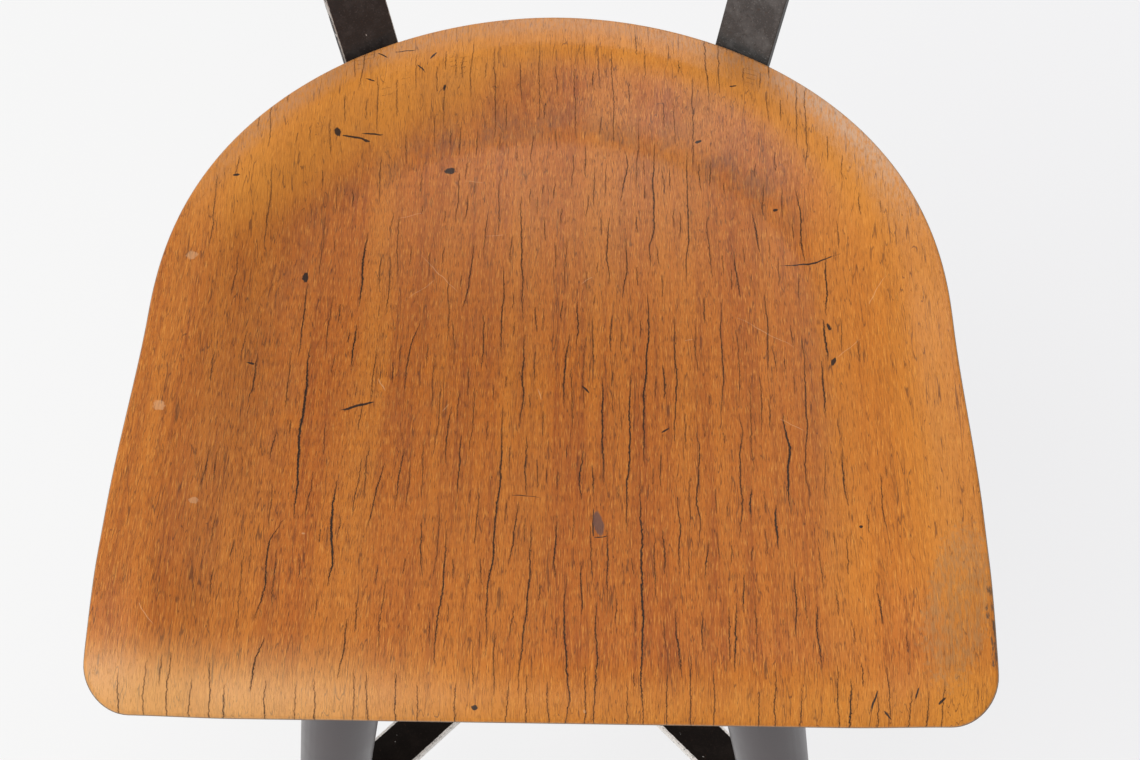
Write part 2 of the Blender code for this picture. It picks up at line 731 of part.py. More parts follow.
def make_retaining_nut(parent):
    """Thin nut on the journal that holds the seat socket down."""
    low = NUT_SEAT + GAP
    nut = bmesh.new()
    bore = JOURNAL_RADIUS + 0.0007
    profile = [(bore, low), (0.0170, low), (0.0170, low + 0.0045), (bore, low + 0.0045)]
    add_hex_headed(nut, profile, 0.015, Matrix.Identity(4))
    make_object("retaining_nut", nut, parent, zinc_steel, 30)


def make_ball_cage(parent):
    """Ball ring of the thrust bearing: ten balls held in a flat cage."""
    count = 10
    cage = bmesh.new()
    add_ring(cage, 0.0130, 0.0212, BALL_HEIGHT - 0.001, BALL_HEIGHT + 0.001, 20)
    balls = bmesh.new()
    for index in range(count):
        centre = heading_vector(math.tau * index / count) * BALL_CIRCLE
        centre.z = BALL_HEIGHT
        place = Matrix.Translation(centre)
        bmesh.ops.create_icosphere(balls, subdivisions=1, radius=BALL_RADIUS, matrix=place)
    combine(make_object("ball_cage", cage, parent, bare_steel, 60), "balls", balls, "UNION")


def make_socket(parent):
    """Turned seat socket: a skirt round the bearing, a bored roof and a wide flange."""
    cavity = 0.0236
    wall = 0.0300
    flange = 0.0740
    bore = JOURNAL_RADIUS + BORE_GAP
    profile = [(cavity, SOCKET_BOTTOM), (wall - 0.001, SOCKET_BOTTOM), (wall, SOCKET_BOTTOM + 0.001)]
    profile += [(wall, SOCKET_FLANGE_BOTTOM - 0.006), (wall + 0.006, SOCKET_FLANGE_BOTTOM)]
    profile += [(flange, SOCKET_FLANGE_BOTTOM), (flange, SOCKET_TOP), (0.0190, SOCKET_TOP)]
    profile += [(0.0190, NUT_SEAT), (bore, NUT_SEAT), (bore, SOCKET_ROOF), (cavity, SOCKET_ROOF)]
    socket = bmesh.new()
    turn_profile(socket, profile, 36)
    holes = bmesh.new()
    for heading in CARRIERS.values():
        low = SOCKET_FLANGE_BOTTOM - 0.004
        add_rod(holes, 0.0033, low, SOCKET_TOP + 0.004, 12, plan_at(heading, CARRIER_BOLT))
    combine(make_object("seat_socket", socket, parent, black_paint, 40), "holes", holes)


def make_upper_race(parent):
    """Upper ring of the thrust bearing, under the socket's roof."""
    race = bmesh.new()
    low = UPPER_RACE_BOTTOM
    add_ring(race, JOURNAL_RADIUS + 0.0006, 0.0233, low, low + RACE_HEIGHT, ROUND_STEPS)
    make_object("upper_race", race, parent, bare_steel, 40)


# ------------------------------------------------------------------ rails, arms and seat screws
def carrier_holes(mesh_data, heading):
    """Bolt and screw holes through one rail or arm."""
    low = CARRIER_BOTTOM - 0.002
    high = CARRIER_TOP + 0.002
    add_rod(mesh_data, 0.0033, low, high, 12, plan_at(heading, CARRIER_BOLT))
    for distance in SEAT_SCREWS.values():
        add_rod(mesh_data, 0.0026, low, high, 12, plan_at(heading, distance))


def rail_path():
    """Middle line of a back rail: level under the seat, leaning up behind it, then upright."""
    level = (CARRIER_TOP + CARRIER_BOTTOM) / 2
    rim_distance, rim_height = RAIL_AT_RIM
    lean = math.tan(RAIL_LEAN)
    elbow = (rim_distance - (rim_height - level) * lean, level)
    knee = (RAIL_RADIUS, rim_height + (RAIL_RADIUS - rim_distance) / lean)
    points = [(CARRIER_START, level), elbow, knee, (RAIL_RADIUS, RAIL_TOP)]
    return round_corners(points, [ELBOW_RADIUS, KNEE_RADIUS], 8)


def slot_outline():
    """Outline of a rail's slot: the bolt's shank and its travel."""
    half = 0.0044
    reach = BACKREST_TRAVEL + 0.0003
    outline = []
    for centre, start in ((reach, 0.0), (-reach, math.pi)):
        for step in range(7):
            swing = start + math.pi * step / 6
            outline.append((half * math.cos(swing), centre + half * math.sin(swing)))
    return outline


def make_rail(name, parent):
    """Back rail: one bent flat bar with a slot near the top for the backrest's bolt."""
    heading = CARRIERS["rear_" + name]
    path, half_widths = round_tip(rail_path(), RAIL_WIDTH / 2)
    bar = bmesh.new()
    sweep_bar(bar, path, RAIL_THICKNESS, heading, half_widths)
    holes = bmesh.new()
    carrier_holes(holes, heading)
    place = upright_at(heading, RAIL_RADIUS, BACKREST_CENTRE)
    add_prism(holes, slot_outline(), -0.010, 0.010, place)
    combine(make_object("back_rail_" + name, bar, parent, black_paint, 30), "holes", holes)


def make_arm(name, parent):
    """Front arm: a short straight flat bar under the seat."""
    heading = CARRIERS["front_" + name]
    level = (CARRIER_TOP + CARRIER_BOTTOM) / 2
    path = [Vector((CARRIER_START, level)), Vector((ARM_END, level))]
    path, half_widths = round_tip(path, RAIL_WIDTH / 2)
    bar = bmesh.new()
    sweep_bar(bar, path, RAIL_THICKNESS, heading, half_widths)
    holes = bmesh.new()
    carrier_holes(holes, heading)
    combine(make_object("front_arm_" + name, bar, parent, black_paint, 30), "holes", holes)


def make_carrier_bolt(name, heading, parent):
    """Hexagon bolt up through the socket's flange, screwed into a rail or arm."""
    head = SOCKET_FLANGE_BOTTOM - GAP
    profile = [(0.0, head - 0.0045), (0.0060, head - 0.0045), (0.0060, head)]
    profile += [(0.0030, head), (0.0030, CARRIER_TOP - GAP), (0.0, CARRIER_TOP - GAP)]
    bolt = bmesh.new()
    add_hex_headed(bolt, profile, 0.005, plan_at(heading, CARRIER_BOLT))
    make_object("carrier_bolt_" + name, bolt, parent, zinc_steel, 30)


def make_doubler(parent):
    """Round plywood block between the flat bars and the seat panel."""
    low = CARRIER_TOP + GAP
    high = SEAT_UNDERSIDE - GAP
    block = bmesh.new()
    profile = [(0.0, low), (0.1180, low), (0.1200, low + 0.002), (0.1200, high), (0.0, high)]
    turn_profile(block, profile, 44)
    holes = bmesh.new()
    for heading in CARRIERS.values():
        for distance in SEAT_SCREWS.values():
            add_rod(holes, 0.0026, low - 0.005, high + 0.005, 12, plan_at(heading, distance))
    combine(make_object("seat_doubler", block, parent, plain_wood, 40), "holes", holes)


def make_seat_screw(name, heading, distance, parent):
    """Wood screw up through a bar and the doubler into the panel."""
    head = CARRIER_BOTTOM - GAP
    tip = SEAT_UNDERSIDE + 0.0078
    profile = [(0.0, head - 0.0030), (0.0034, head - 0.0026), (0.0048, head - 0.0010)]
    profile += [(0.0048, head), (0.0022, head), (0.0022, tip - 0.002), (0.0, tip)]
    screw = bmesh.new()
    turn_profile(screw, profile, SCREW_STEPS, plan_at(heading, distance))
    make_object("seat_screw_" + name, screw, parent, zinc_steel, 40)


# ------------------------------------------------------------------ seat panel
def half_width_at(y):
    """Half width of the seat behind its front corners."""
    if y > 0.0:
        share = min(y / SEAT_BACK, 1.0)
        fullness = 2.24 - 0.27 * share
        return SEAT_WAIST * (1.0 - share ** fullness) ** (1.0 / fullness)
    return SEAT_WAIST + (SEAT_HALF_WIDTH - SEAT_WAIST) * smooth_step(-y / 0.105)


def seat_outline():
    """Plan outline of the seat, anticlockwise from the middle of the front edge."""
    right = []
    corner_x = SEAT_HALF_WIDTH - SEAT_CORNER
    corner_y = -SEAT_FRONT + SEAT_CORNER
    for step in range(4):
        right.append((corner_x * step / 4, -SEAT_FRONT))
    for step in range(6):
        swing = math.radians(-90.0 + 90.0 * step / 5)
        x = corner_x + SEAT_CORNER * math.cos(swing)
        right.append((x, corner_y + SEAT_CORNER * math.sin(swing)))
    for step in range(1, 6):
        y = corner_y * (1.0 - step / 6)
        right.append((half_width_at(y), y))
    for step in range(11):
        y = SEAT_BACK * math.sin(math.radians(90.0 * step / 11))
        right.append((half_width_at(y), y))
    left = [(-x, y) for x, y in right[1:]]
    return right + [(0.0, SEAT_BACK)] + left[::-1]


def rim_curve():
    """The sides and round back of the outline, run on straight past the front."""
    curve = []
    for step in range(25):
        y = SEAT_BACK * math.sin(math.radians(90.0 * step / 24))
        curve.append((half_width_at(y), y))
    side = [(half_width_at(-0.020 * step), -0.020 * step) for step in range(1, 16)]
    right = side[::-1] + curve
    return right + [(-x, y) for x, y in right[-2::-1]]


def distance_to_rim(x, y, curve):
    """Shortest distance in plan from a point to the rim curve."""
    best = 1.0
    point = Vector((x, y))
    for start, end in zip(curve, curve[1:]):
        start = Vector(start)
        run = Vector(end) - start
        share = min(max((point - start).dot(run) / run.length_squared, 0.0), 1.0)
        best = min(best, (point - start - run * share).length)
    return best


def seat_top(x, y, curve):
    """Height of the seat's upper face at a point in plan."""
    bowl = smooth_step((distance_to_rim(x, y, curve) - RIM_FLANGE) / DISH_SLOPE)
    rim = BACK_RISE * smooth_step(y / SEAT_BACK) - FRONT_SINK * smooth_step((-y - 0.130) / 0.070)
    floor = 0.002 * smooth_step((-y - 0.150) / 0.050) - DISH_DEPTH
    roll = max(-y - LIP_START, 0.0) / (SEAT_FRONT - LIP_START)
    return SEAT_HEIGHT + rim * (1.0 - bowl) + floor * bowl - LIP_DROP * roll * roll


def seat_normal(x, y, curve):
    """Upward unit normal of the seat's upper face."""
    reach = 0.002
    slope_x = (seat_top(x + reach, y, curve) - seat_top(x - reach, y, curve)) / (2 * reach)
    slope_y = (seat_top(x, y + reach, curve) - seat_top(x, y - reach, curve)) / (2 * reach)
    return Vector((-slope_x, -slope_y, 1.0)).normalized()


def make_seat_panel(parent):
    """Moulded plywood seat: rolled front, dished floor and raised round back."""
    outline = [Vector(point) for point in seat_outline()]
    curve = rim_curve()
    middle = Vector((0.0, -0.020))
    edge_round = 0.0025
    shares = (0.0, 0.11, 0.19, 0.27, 0.35, 0.60, 1.0)
    panel = bmesh.new()
    rows = []
    for face in (0.0, PLY_THICKNESS):
        face_rows = []
        for share in shares:
            row = []
            inset = edge_round if share == 0.0 else 0.0
            points = [middle] if share == 1.0 else outline
            for point in points:
                x, y = point.lerp(middle, share)
                normal = seat_normal(x, y, curve)
                top = Vector((x, y, seat_top(x, y, curve)))
                inward = (middle - point).normalized() if point is not middle else Vector((0.0, 0.0))
                place = top - normal * face + Vector((*inward, 0.0)) * inset
                row.append(panel.verts.new(place))
            face_rows.append(row)
        rows.append(face_rows)
    edge_rows = []
    for depth in (edge_round, PLY_THICKNESS - edge_round):
        row = []
        for x, y in outline:
            normal = seat_normal(x, y, curve)
            row.append(panel.verts.new(Vector((x, y, seat_top(x, y, curve))) - normal * depth))
        edge_rows.append(row)
    close_shell(panel, rows[0][::-1] + edge_rows + rows[1])
    holes = bmesh.new()
    for heading in CARRIERS.values():
        for distance in SEAT_SCREWS.values():
            place = plan_at(heading, distance)
            add_rod(holes, 0.0026, SEAT_UNDERSIDE - 0.010, SEAT_UNDERSIDE + 0.0082, 12, place)
    combine(make_object("seat_panel", panel, parent, plywood, 50), "holes", holes)


# ------------------------------------------------------------------ backrest
def backrest_stations():
    """Half height of the backrest at places along its curve, from left to right."""
    half_height = BACKREST_HEIGHT / 2
    corner_x = BACKREST_HALF_ANGLE * BACKREST_OUTER - BACKREST_CORNER
    left = []
    for step in range(6):
        swing = math.radians(90.0 * step / 5)
        height = half_height - BACKREST_CORNER * (1.0 - math.sin(swing))
        left.append((-corner_x - BACKREST_CORNER * math.cos(swing), height))
    middle = [(corner_x * (step / 7 - 1.0), half_height) for step in range(1, 14)]
    return left + middle + [(-x, height) for x, height in left[::-1]]


def make_backrest_panel(parent):
    """Plywood backrest bent round the spindle axis, with two bolt holes."""
    edge = 0.0025
    panel = bmesh.new()
    rows = []
    for x, reach in backrest_stations():
        section = [(BACKREST_OUTER - edge, reach), (BACKREST_OUTER, reach - edge)]
        section += [(BACKREST_OUTER, edge - reach), (BACKREST_OUTER - edge, -reach)]
        section += [(BACKREST_INNER + edge, -reach), (BACKREST_INNER, edge - reach)]
        section += [(BACKREST_INNER, reach - edge), (BACKREST_INNER + edge, reach)]
        direction = heading_vector(math.pi / 2 - x / BACKREST_OUTER)
        row = []
        for radius, height in section:
            point = direction * radius
            point.z = BACKREST_CENTRE + height
            row.append(panel.verts.new(point))
        rows.append(row)
    close_shell(panel, rows)
    panel.faces.new(rows[0])
    panel.faces.new(rows[-1])
    holes = bmesh.new()
    for side in SIDES.values():
        add_rod(holes, 0.0043, -0.020, 0.010, 14, clamp_place(side))
    combine(make_object("backrest_panel", panel, parent, plywood, 50), "holes", holes)


def clamp_place(side):
    """Axes on a backrest bolt, Z pointing out from the spindle, at the panel's back face."""
    return upright_at(math.pi / 2 - side * RAIL_HEADING, BACKREST_OUTER, BACKREST_CENTRE)


def make_carriage_bolt(name, side, parent):
    """Dome-headed bolt through the backrest and a rail's slot."""
    head = -BACKREST_THICKNESS - 0.0008
    profile = [(0.0, head - 0.0036), (0.0050, head - 0.0030), (0.0085, head - 0.0012)]
    profile += [(0.0090, head), (0.0040, head), (0.0040, 0.0255), (0.0, 0.0265)]
    bolt = bmesh.new()
    turn_profile(bolt, profile, 16, clamp_place(side))
    make_object("carriage_bolt_" + name, bolt, parent, zinc_steel, 40)


def make_clamp_washer(name, side, parent):
    """Washer between a rail and its wing nut."""
    low = RAIL_BACK_FACE - BACKREST_OUTER + GAP
    washer = bmesh.new()
    add_ring(washer, 0.0044, 0.0110, low, low + 0.0016, 20, clamp_place(side))
    make_object("clamp_washer_" + name, washer, parent, zinc_steel, 40)


def wing_outline():
    """Both ears of a wing nut, in one piece through its hub."""
    right = [(0.0, 0.0020), (0.0060, 0.0015), (0.0135, 0.0035), (0.0175, 0.0090)]
    right += [(0.0180, 0.0140), (0.0155, 0.0165), (0.0120, 0.0150), (0.0080, 0.0100), (0.0, 0.0085)]
    left = [(-x, y) for x, y in right[-2:0:-1]]
    return right + left


def make_wing_nut(name, side, parent):
    """Wing nut on a backrest bolt, its origin on the bolt's axis."""
    low = RAIL_BACK_FACE - BACKREST_OUTER + 0.0016 + 2 * GAP
    hub = bmesh.new()
    profile = [(0.0, low), (0.0078, low), (0.0066, low + 0.0100), (0.0, low + 0.0100)]
    turn_profile(hub, profile, 20)
    nut = make_object("wing_nut_" + name, hub, parent, zinc_steel, 40, clamp_place(side))
    ears = bmesh.new()
    frame = Matrix.Translation((0.0, 0.0, low)) @ Matrix.Rotation(math.pi / 2, 4, "X")
    add_prism(ears, wing_outline(), -0.0016, 0.0016, frame)
    combine(nut, "ears", ears, "UNION", clamp_place(side))
    bore = bmesh.new()
    add_rod(bore, 0.0043, low - 0.005, low + 0.020, 16)
    combine(nut, "bore", bore, place=clamp_place(side))


# ------------------------------------------------------------------ the whole chair
def build_base(parent):
    """Everything that stands still on the floor."""
    for name, corner in DIAGONALS.items():
        make_leg(name, corner, parent)
        make_foot(name, corner, parent)
        make_leg_screw(name, corner, parent)
        make_tab_bolt(name, corner, parent)
    make_spider(parent)
    make_key(parent)
    make_thrust_washer(parent)
    make_stretcher_bar("cross_bar_a", math.radians(45.0), 1, parent)
    make_stretcher_bar("cross_bar_b", math.radians(135.0), -1, parent)
    make_cross_rivet(parent)


def build_spindle(parent):
    """What rises and falls without turning."""
    make_spindle(parent)
    make_stop_collar(parent)
    make_lower_race(parent)
    make_retaining_nut(parent)


def build_seat(parent):
    """What swivels with the sitter."""
    make_socket(parent)
    make_upper_race(parent)
    for name in SIDES:
        make_rail(name, parent)
        make_arm(name, parent)
    for name, heading in CARRIERS.items():
        make_carrier_bolt(name, heading, parent)
        for where, distance in SEAT_SCREWS.items():
            make_seat_screw(name + "_" + where, heading, distance, parent)
    make_doubler(parent)
    make_seat_panel(parent)


def build_backrest(parent):
    """What slides on the rails, and the wing nuts that clamp it."""
    make_backrest_panel(parent)
    for name, side in SIDES.items():
        make_carriage_bolt(name, side, parent)
        make_clamp_washer(name, side, parent)
        make_wing_nut(name, side, parent)


def build_chair():
    """Clear the scene and make every piece."""
    for item in list(bpy.data.objects):
        bpy.data.objects.remove(item, do_unlink=True)
    axis = place_empty("spindle_axis", (0.0, SPINDLE_Y, 0.0))
    build_base(place_empty("base", (0.0, 0.0, 0.0), axis))
    make_handwheel(place_empty("handwheel_axis", (0.0, 0.0, 0.0), axis))
    build_spindle(place_empty("lift", (0.0, 0.0, 0.0), axis))
    make_ball_cage(place_empty("ball_ring", (0.0, 0.0, 0.0), axis))
    build_seat(place_empty("swivel", (0.0, 0.0, 0.0), axis))
    build_backrest(place_empty("back_slide", (0.0, 0.0, 0.0), axis))


build_chair()
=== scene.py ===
"""The drafting chair's looks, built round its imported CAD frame.

The seat, the backrest and the screw spindle are modelled again here in fine detail.
Every other CAD node keeps its shape and gets softened edges and a procedural material.
"""
import math
import random

import bpy
import numpy as np
from mathutils import Matrix, Vector


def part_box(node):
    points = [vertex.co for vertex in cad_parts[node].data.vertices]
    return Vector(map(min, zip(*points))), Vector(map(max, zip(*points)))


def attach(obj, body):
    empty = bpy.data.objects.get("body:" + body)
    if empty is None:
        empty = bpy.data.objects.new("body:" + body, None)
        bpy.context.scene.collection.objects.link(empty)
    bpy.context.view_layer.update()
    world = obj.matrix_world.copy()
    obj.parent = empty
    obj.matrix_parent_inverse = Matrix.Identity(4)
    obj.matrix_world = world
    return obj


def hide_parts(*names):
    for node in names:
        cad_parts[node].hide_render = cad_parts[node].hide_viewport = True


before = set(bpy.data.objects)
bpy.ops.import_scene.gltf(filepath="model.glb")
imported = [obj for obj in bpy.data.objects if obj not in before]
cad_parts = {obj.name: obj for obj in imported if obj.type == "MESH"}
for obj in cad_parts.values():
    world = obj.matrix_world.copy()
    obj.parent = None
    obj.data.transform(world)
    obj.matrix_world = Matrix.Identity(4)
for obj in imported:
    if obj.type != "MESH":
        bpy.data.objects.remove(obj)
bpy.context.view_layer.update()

spindle_low, spindle_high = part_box("spindle")
AXIS_Y = (spindle_low.y + spindle_high.y) / 2  # the spindle stands at (0, AXIS_Y)
MM = 0.001

# ---- shape of the seat
SEAT_HEIGHT = 0.620
SEAT_HALF_WIDTH = 0.2043
SEAT_WAIST = 0.2011
SEAT_BACK = 0.189
SEAT_FRONT = 0.201
SEAT_CORNER = 0.021
PLY_THICKNESS = 0.011
DISH_DEPTH = 0.014
BACK_RISE = 0.013
FRONT_SINK = 0.009
RIM_FLANGE = 0.018
DISH_SLOPE = 0.050
LIP_START = 0.172
LIP_DROP = 0.010

# ---- shape of the backrest
back_low, back_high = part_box("backrest_panel")
BACKREST_CENTRE = (back_low.z + back_high.z) / 2
BACKREST_HALF_HEIGHT = (back_high.z - back_low.z) / 2
BACKREST_OUTER = 0.2443
BACKREST_THICKNESS = 0.010
BACKREST_HALF_ARC = math.radians(44.0) * BACKREST_OUTER
BACKREST_CORNER = 0.040

RAIL_HEADINGS = {
    "back_rail_left": math.radians(90.0 + 31.2),
    "back_rail_right": math.radians(90.0 - 31.2),
    "front_arm_left": math.radians(-90.0 - 40.0),
    "front_arm_right": math.radians(-90.0 + 40.0),
    "cross_bar_a": math.radians(45.0),
    "cross_bar_b": math.radians(135.0),
}


# ---- camera, floor and light
def new_piece(name, points, faces):
    """A linked object with a mesh of its own."""
    mesh = bpy.data.meshes.new(name)
    mesh.from_pydata(points, [], faces)
    piece = bpy.data.objects.new(name, mesh)
    put_in_scene(piece)
    return piece


def put_in_scene(piece):
    """Link an object into the scene."""
    bpy.context.scene.collection.objects.link(piece)


def make_camera():
    """A 50 mm lens above the front of the seat, looking steeply down and back."""
    data = bpy.data.cameras.new("camera")
    data.lens = 50.0
    data.sensor_width = 36.0
    data.clip_start = 0.05
    camera = bpy.data.objects.new("camera", data)
    put_in_scene(camera)
    camera.location = (0.0267, AXIS_Y - 0.424, 1.2846)
    pitch = Matrix.Rotation(math.radians(30.3), 4, "X")
    pan = Matrix.Rotation(math.radians(1.14), 4, "Y")
    roll = Matrix.Rotation(math.radians(0.61), 4, "Z")
    camera.rotation_euler = (pitch @ pan @ roll).to_euler()
    bpy.context.scene.camera = camera


def aim_light(name, place, target, size, power, colour=(1.0, 1.0, 1.0)):
    """A rectangular soft light turned towards a point."""
    data = bpy.data.lights.new(name, "AREA")
    data.shape = "RECTANGLE"
    data.size, data.size_y = size
    data.energy = power
    data.color = colour
    lamp = bpy.data.objects.new(name, data)
    put_in_scene(lamp)
    lamp.location = place
    lamp.rotation_euler = (Vector(target) - Vector(place)).to_track_quat("-Z", "Y").to_euler()


# ---- node materials
TO_SPINDLE = (0.0, -AXIS_Y, 0.0)  # shifts coordinates to the spindle's axis


class Finish:
    """A procedural material, with short calls that add and wire its nodes."""

    def __init__(self, name, **values):
        self.material = bpy.data.materials.new(name)
        self.material.use_nodes = True
        self.tree = self.material.node_tree
        self.shader = self.tree.nodes["Principled BSDF"]
        self.wire(self.shader, **values)
        self.place = self.node("TexCoord").outputs["Object"]

    def node(self, kind):
        """Add a shader node."""
        return self.tree.nodes.new("ShaderNode" + kind)

    def plug(self, socket, value):
        """Link a node's output to a socket, or set the socket's own value."""
        if isinstance(value, bpy.types.NodeSocket):
            self.tree.links.new(value, socket)
        elif isinstance(value, tuple) and len(value) == 3 and len(socket.default_value) == 4:
            socket.default_value = (*value, 1.0)
        else:
            socket.default_value = value

    def wire(self, node, **values):
        """Plug values into a node's inputs, named with _ for a space."""
        for label, value in values.items():
            self.plug(node.inputs[label.replace("_", " ")], value)

    def calc(self, operation, first, second=0.5, third=0.0):
        """One sum on numbers."""
        node = self.node("Math")
        node.operation = operation
        for socket, value in zip(node.inputs, (first, second, third)):
            self.plug(socket, value)
        return node.outputs[0]

    def vector(self, operation, *values):
        """One sum on vectors."""
        node = self.node("VectorMath")
        node.operation = operation
        for socket, value in zip(node.inputs, values):
            self.plug(socket, value)
        return node.outputs["Value" if operation == "LENGTH" else "Vector"]

    def times(self, first, second):
        """The product of two numbers."""
        return self.calc("MULTIPLY", first, second)

    def span(self, value, low, high, start=0.0, end=1.0):
        """Ease from start to end as a value goes from low to high."""
        node = self.node("MapRange")
        node.interpolation_type = "SMOOTHSTEP"
        for socket, item in zip(node.inputs, (value, low, high, start, end)):
            self.plug(socket, item)
        return node.outputs[0]

    def blend(self, share, first, second):
        """Mix two colours."""
        node = self.node("Mix")
        node.data_type = "RGBA"
        self.plug(node.inputs[0], share)
        self.plug(node.inputs[6], first)
        self.plug(node.inputs[7], second)
        return node.outputs[2]

    def moved(self, scale=(1.0, 1.0, 1.0), turn=0.0, shift=(0.0, 0.0, 0.0), kind="POINT", place=None):
        """The object's coordinates, scaled, turned about Z and shifted."""
        node = self.node("Mapping")
        node.vector_type = kind
        rotation = (0.0, 0.0, turn)
        self.wire(node, Vector=place or self.place, Scale=scale, Rotation=rotation, Location=shift)
        return node.outputs[0]

    def noise(self, size, detail=2.0, roughness=0.5, place=None, warp=0.0, shift=(0.0, 0.0, 0.0)):
        """Soft noise whose lumps have a size in millimetres: one for all, or one along each axis."""
        node = self.node("TexNoise")
        sizes = size if isinstance(size, tuple) else (size, size, size)
        scale = tuple(1.0 / (item * MM) for item in sizes)
        self.wire(node, Vector=self.moved(scale, shift=shift, place=place), Scale=1.0)
        self.wire(node, Detail=detail, Roughness=roughness, Distortion=warp)
        return node.outputs["Fac"]

    def attribute(self, name):
        """A number kept on the mesh's points."""
        node = self.node("Attribute")
        node.attribute_name = name
        return node.outputs["Fac"]

    def axes(self, place=None):
        """The three coordinates as numbers."""
        node = self.node("SeparateXYZ")
        self.plug(node.inputs[0], place or self.place)
        return node.outputs

    def mark(self, x, y, along, across, turn=0.0, place=None, ragged=0.5):
        """Mask of an oval mark: centre and half lengths in millimetres, turn in degrees."""
        size = (along * MM, across * MM, 1.0)
        shape = self.moved(size, math.radians(turn), (x * MM, y * MM, 0.0), "TEXTURE", place)
        length = self.vector("LENGTH", self.vector("MULTIPLY", shape, (1.0, 1.0, 0.0)))
        worn = self.calc("MULTIPLY_ADD", self.rough_edge, ragged, length)
        return self.span(worn, 1.0 + ragged * 0.5, 0.72 + ragged * 0.5)

    def bump(self, height, depth):
        """Relief with a depth in millimetres, on top of any relief already set."""
        node = self.node("Bump")
        self.wire(node, Strength=1.0, Distance=depth * MM, Height=height)
        before = self.shader.inputs["Normal"].links
        if before:
            self.plug(node.inputs["Normal"], before[0].from_socket)
        self.plug(self.shader.inputs["Normal"], node.outputs[0])

    def finish(self, colour, roughness):
        """Wire the colour and the roughness, and give the material back."""
        self.wire(self.shader, Base_Color=colour, Roughness=roughness)
        return self.material


def make_floor():
    """Wide pale floor, a little dimmer towards the right."""
    look = Finish("pale_floor", Specular_IOR_Level=0.1)
    east = look.axes()[0]
    share = look.span(east, -0.7, 0.8)
    glow = look.blend(share, (0.83, 0.83, 0.83), (0.805, 0.802, 0.813))
    look.wire(look.shader, Emission_Color=glow, Emission_Strength=0.86)
    cloud = look.noise(900)
    material = look.finish(look.blend(cloud, (0.19, 0.19, 0.19), (0.21, 0.21, 0.21)), 0.8)
    half = 6.0
    corners = [(-half, -half, 0), (half, -half, 0), (half, half, 0), (-half, half, 0)]
    floor = new_piece("floor", corners, [(0, 1, 2, 3)])
    floor.data.materials.append(material)
    floor.location.z = -0.0005


def make_world():
    """Soft room light, brighter on the left than on the right."""
    world = bpy.data.worlds.new("room")
    world.use_nodes = True
    tree = world.node_tree
    place = tree.nodes.new("ShaderNodeTexCoord")
    axes = tree.nodes.new("ShaderNodeSeparateXYZ")
    tree.links.new(place.outputs["Generated"], axes.inputs[0])
    sides = tree.nodes.new("ShaderNodeMapRange")
    tree.links.new(axes.outputs["X"], sides.inputs["Value"])
    # from -0.9 and 0.9 to 0.75 and 0.35
    for socket, value in zip(sides.inputs[1:5], (-0.9, 0.9, 0.75, 0.35)):
        socket.default_value = value
    background = tree.nodes["Background"]
    background.inputs["Color"].default_value = (1.0, 1.0, 1.0, 1.0)
    tree.links.new(sides.outputs[0], background.inputs["Strength"])
    bpy.context.scene.world = world


make_camera()
make_floor()
make_world()
aim_light("key", (-1.25, -1.15, 2.7), (0.0, 0.0, 0.6), (1.6, 1.6), 42.0, (1.0, 0.985, 0.96))
aim_light("back", (0.75, 2.1, 2.75), (0.0, 0.1, 0.6), (2.4, 1.2), 34.0, (0.97, 0.985, 1.0))
bpy.context.scene.view_settings.view_transform = "Standard"


# ---- seat surface
def ease(value):
    """Ease from 0 to 1 as value goes from 0 to 1."""
    value = np.clip(value, 0.0, 1.0)
    return value * value * (3.0 - 2.0 * value)


def half_width_at(y):
    """Half width of the seat behind its front corners."""
    share = np.clip(y / SEAT_BACK, 0.0, 1.0)
    fullness = 2.24 - 0.27 * share
    behind = SEAT_WAIST * (1.0 - share ** fullness) ** (1.0 / fullness)
    ahead = SEAT_WAIST + (SEAT_HALF_WIDTH - SEAT_WAIST) * ease(-y / 0.105)
    return np.where(y > 0.0, behind, ahead)


def seat_half_width(y):
    """Half width of the seat, its front corners included."""
    into = np.clip(SEAT_CORNER - SEAT_FRONT - y, 0.0, SEAT_CORNER)
    corner = SEAT_HALF_WIDTH - SEAT_CORNER + np.sqrt(SEAT_CORNER ** 2 - into ** 2)
    return np.where(into > 0.0, corner, half_width_at(y))


def rim_curve():
    """The sides and round back of the outline, run on straight past the front."""
    behind = SEAT_BACK * np.sin(np.radians(np.linspace(0.0, 90.0, 49)))
    ahead = np.linspace(-0.300, 0.0, 16)[:-1]
    y = np.concatenate([ahead, behind])
    x = half_width_at(y)
    return np.concatenate([np.stack([x, y], 1), np.stack([-x, y], 1)[-2::-1]])


RIM = rim_curve()


def distance_to_rim(x, y):
    """Shortest distance in plan from points to the rim curve."""
    best = np.full(x.shape, 1.0)
    for start, end in zip(RIM, RIM[1:]):
        run = end - start
        share = np.clip(((x - start[0]) * run[0] + (y - start[1]) * run[1]) / run.dot(run), 0.0, 1.0)
        best = np.minimum(best, np.hypot(x - start[0] - run[0] * share, y - start[1] - run[1] * share))
    return best


def seat_top(x, y):
    """Height of the seat's upper face, in coordinates about the spindle."""
    bowl = ease((distance_to_rim(x, y) - RIM_FLANGE) / DISH_SLOPE)
    rim = BACK_RISE * ease(y / SEAT_BACK) - FRONT_SINK * ease((-y - 0.130) / 0.070)
    floor = 0.002 * ease((-y - 0.150) / 0.050) - DISH_DEPTH
    roll = np.maximum(-y - LIP_START, 0.0) / (SEAT_FRONT - LIP_START)
    return SEAT_HEIGHT + rim * (1.0 - bowl) + floor * bowl - LIP_DROP * roll * roll


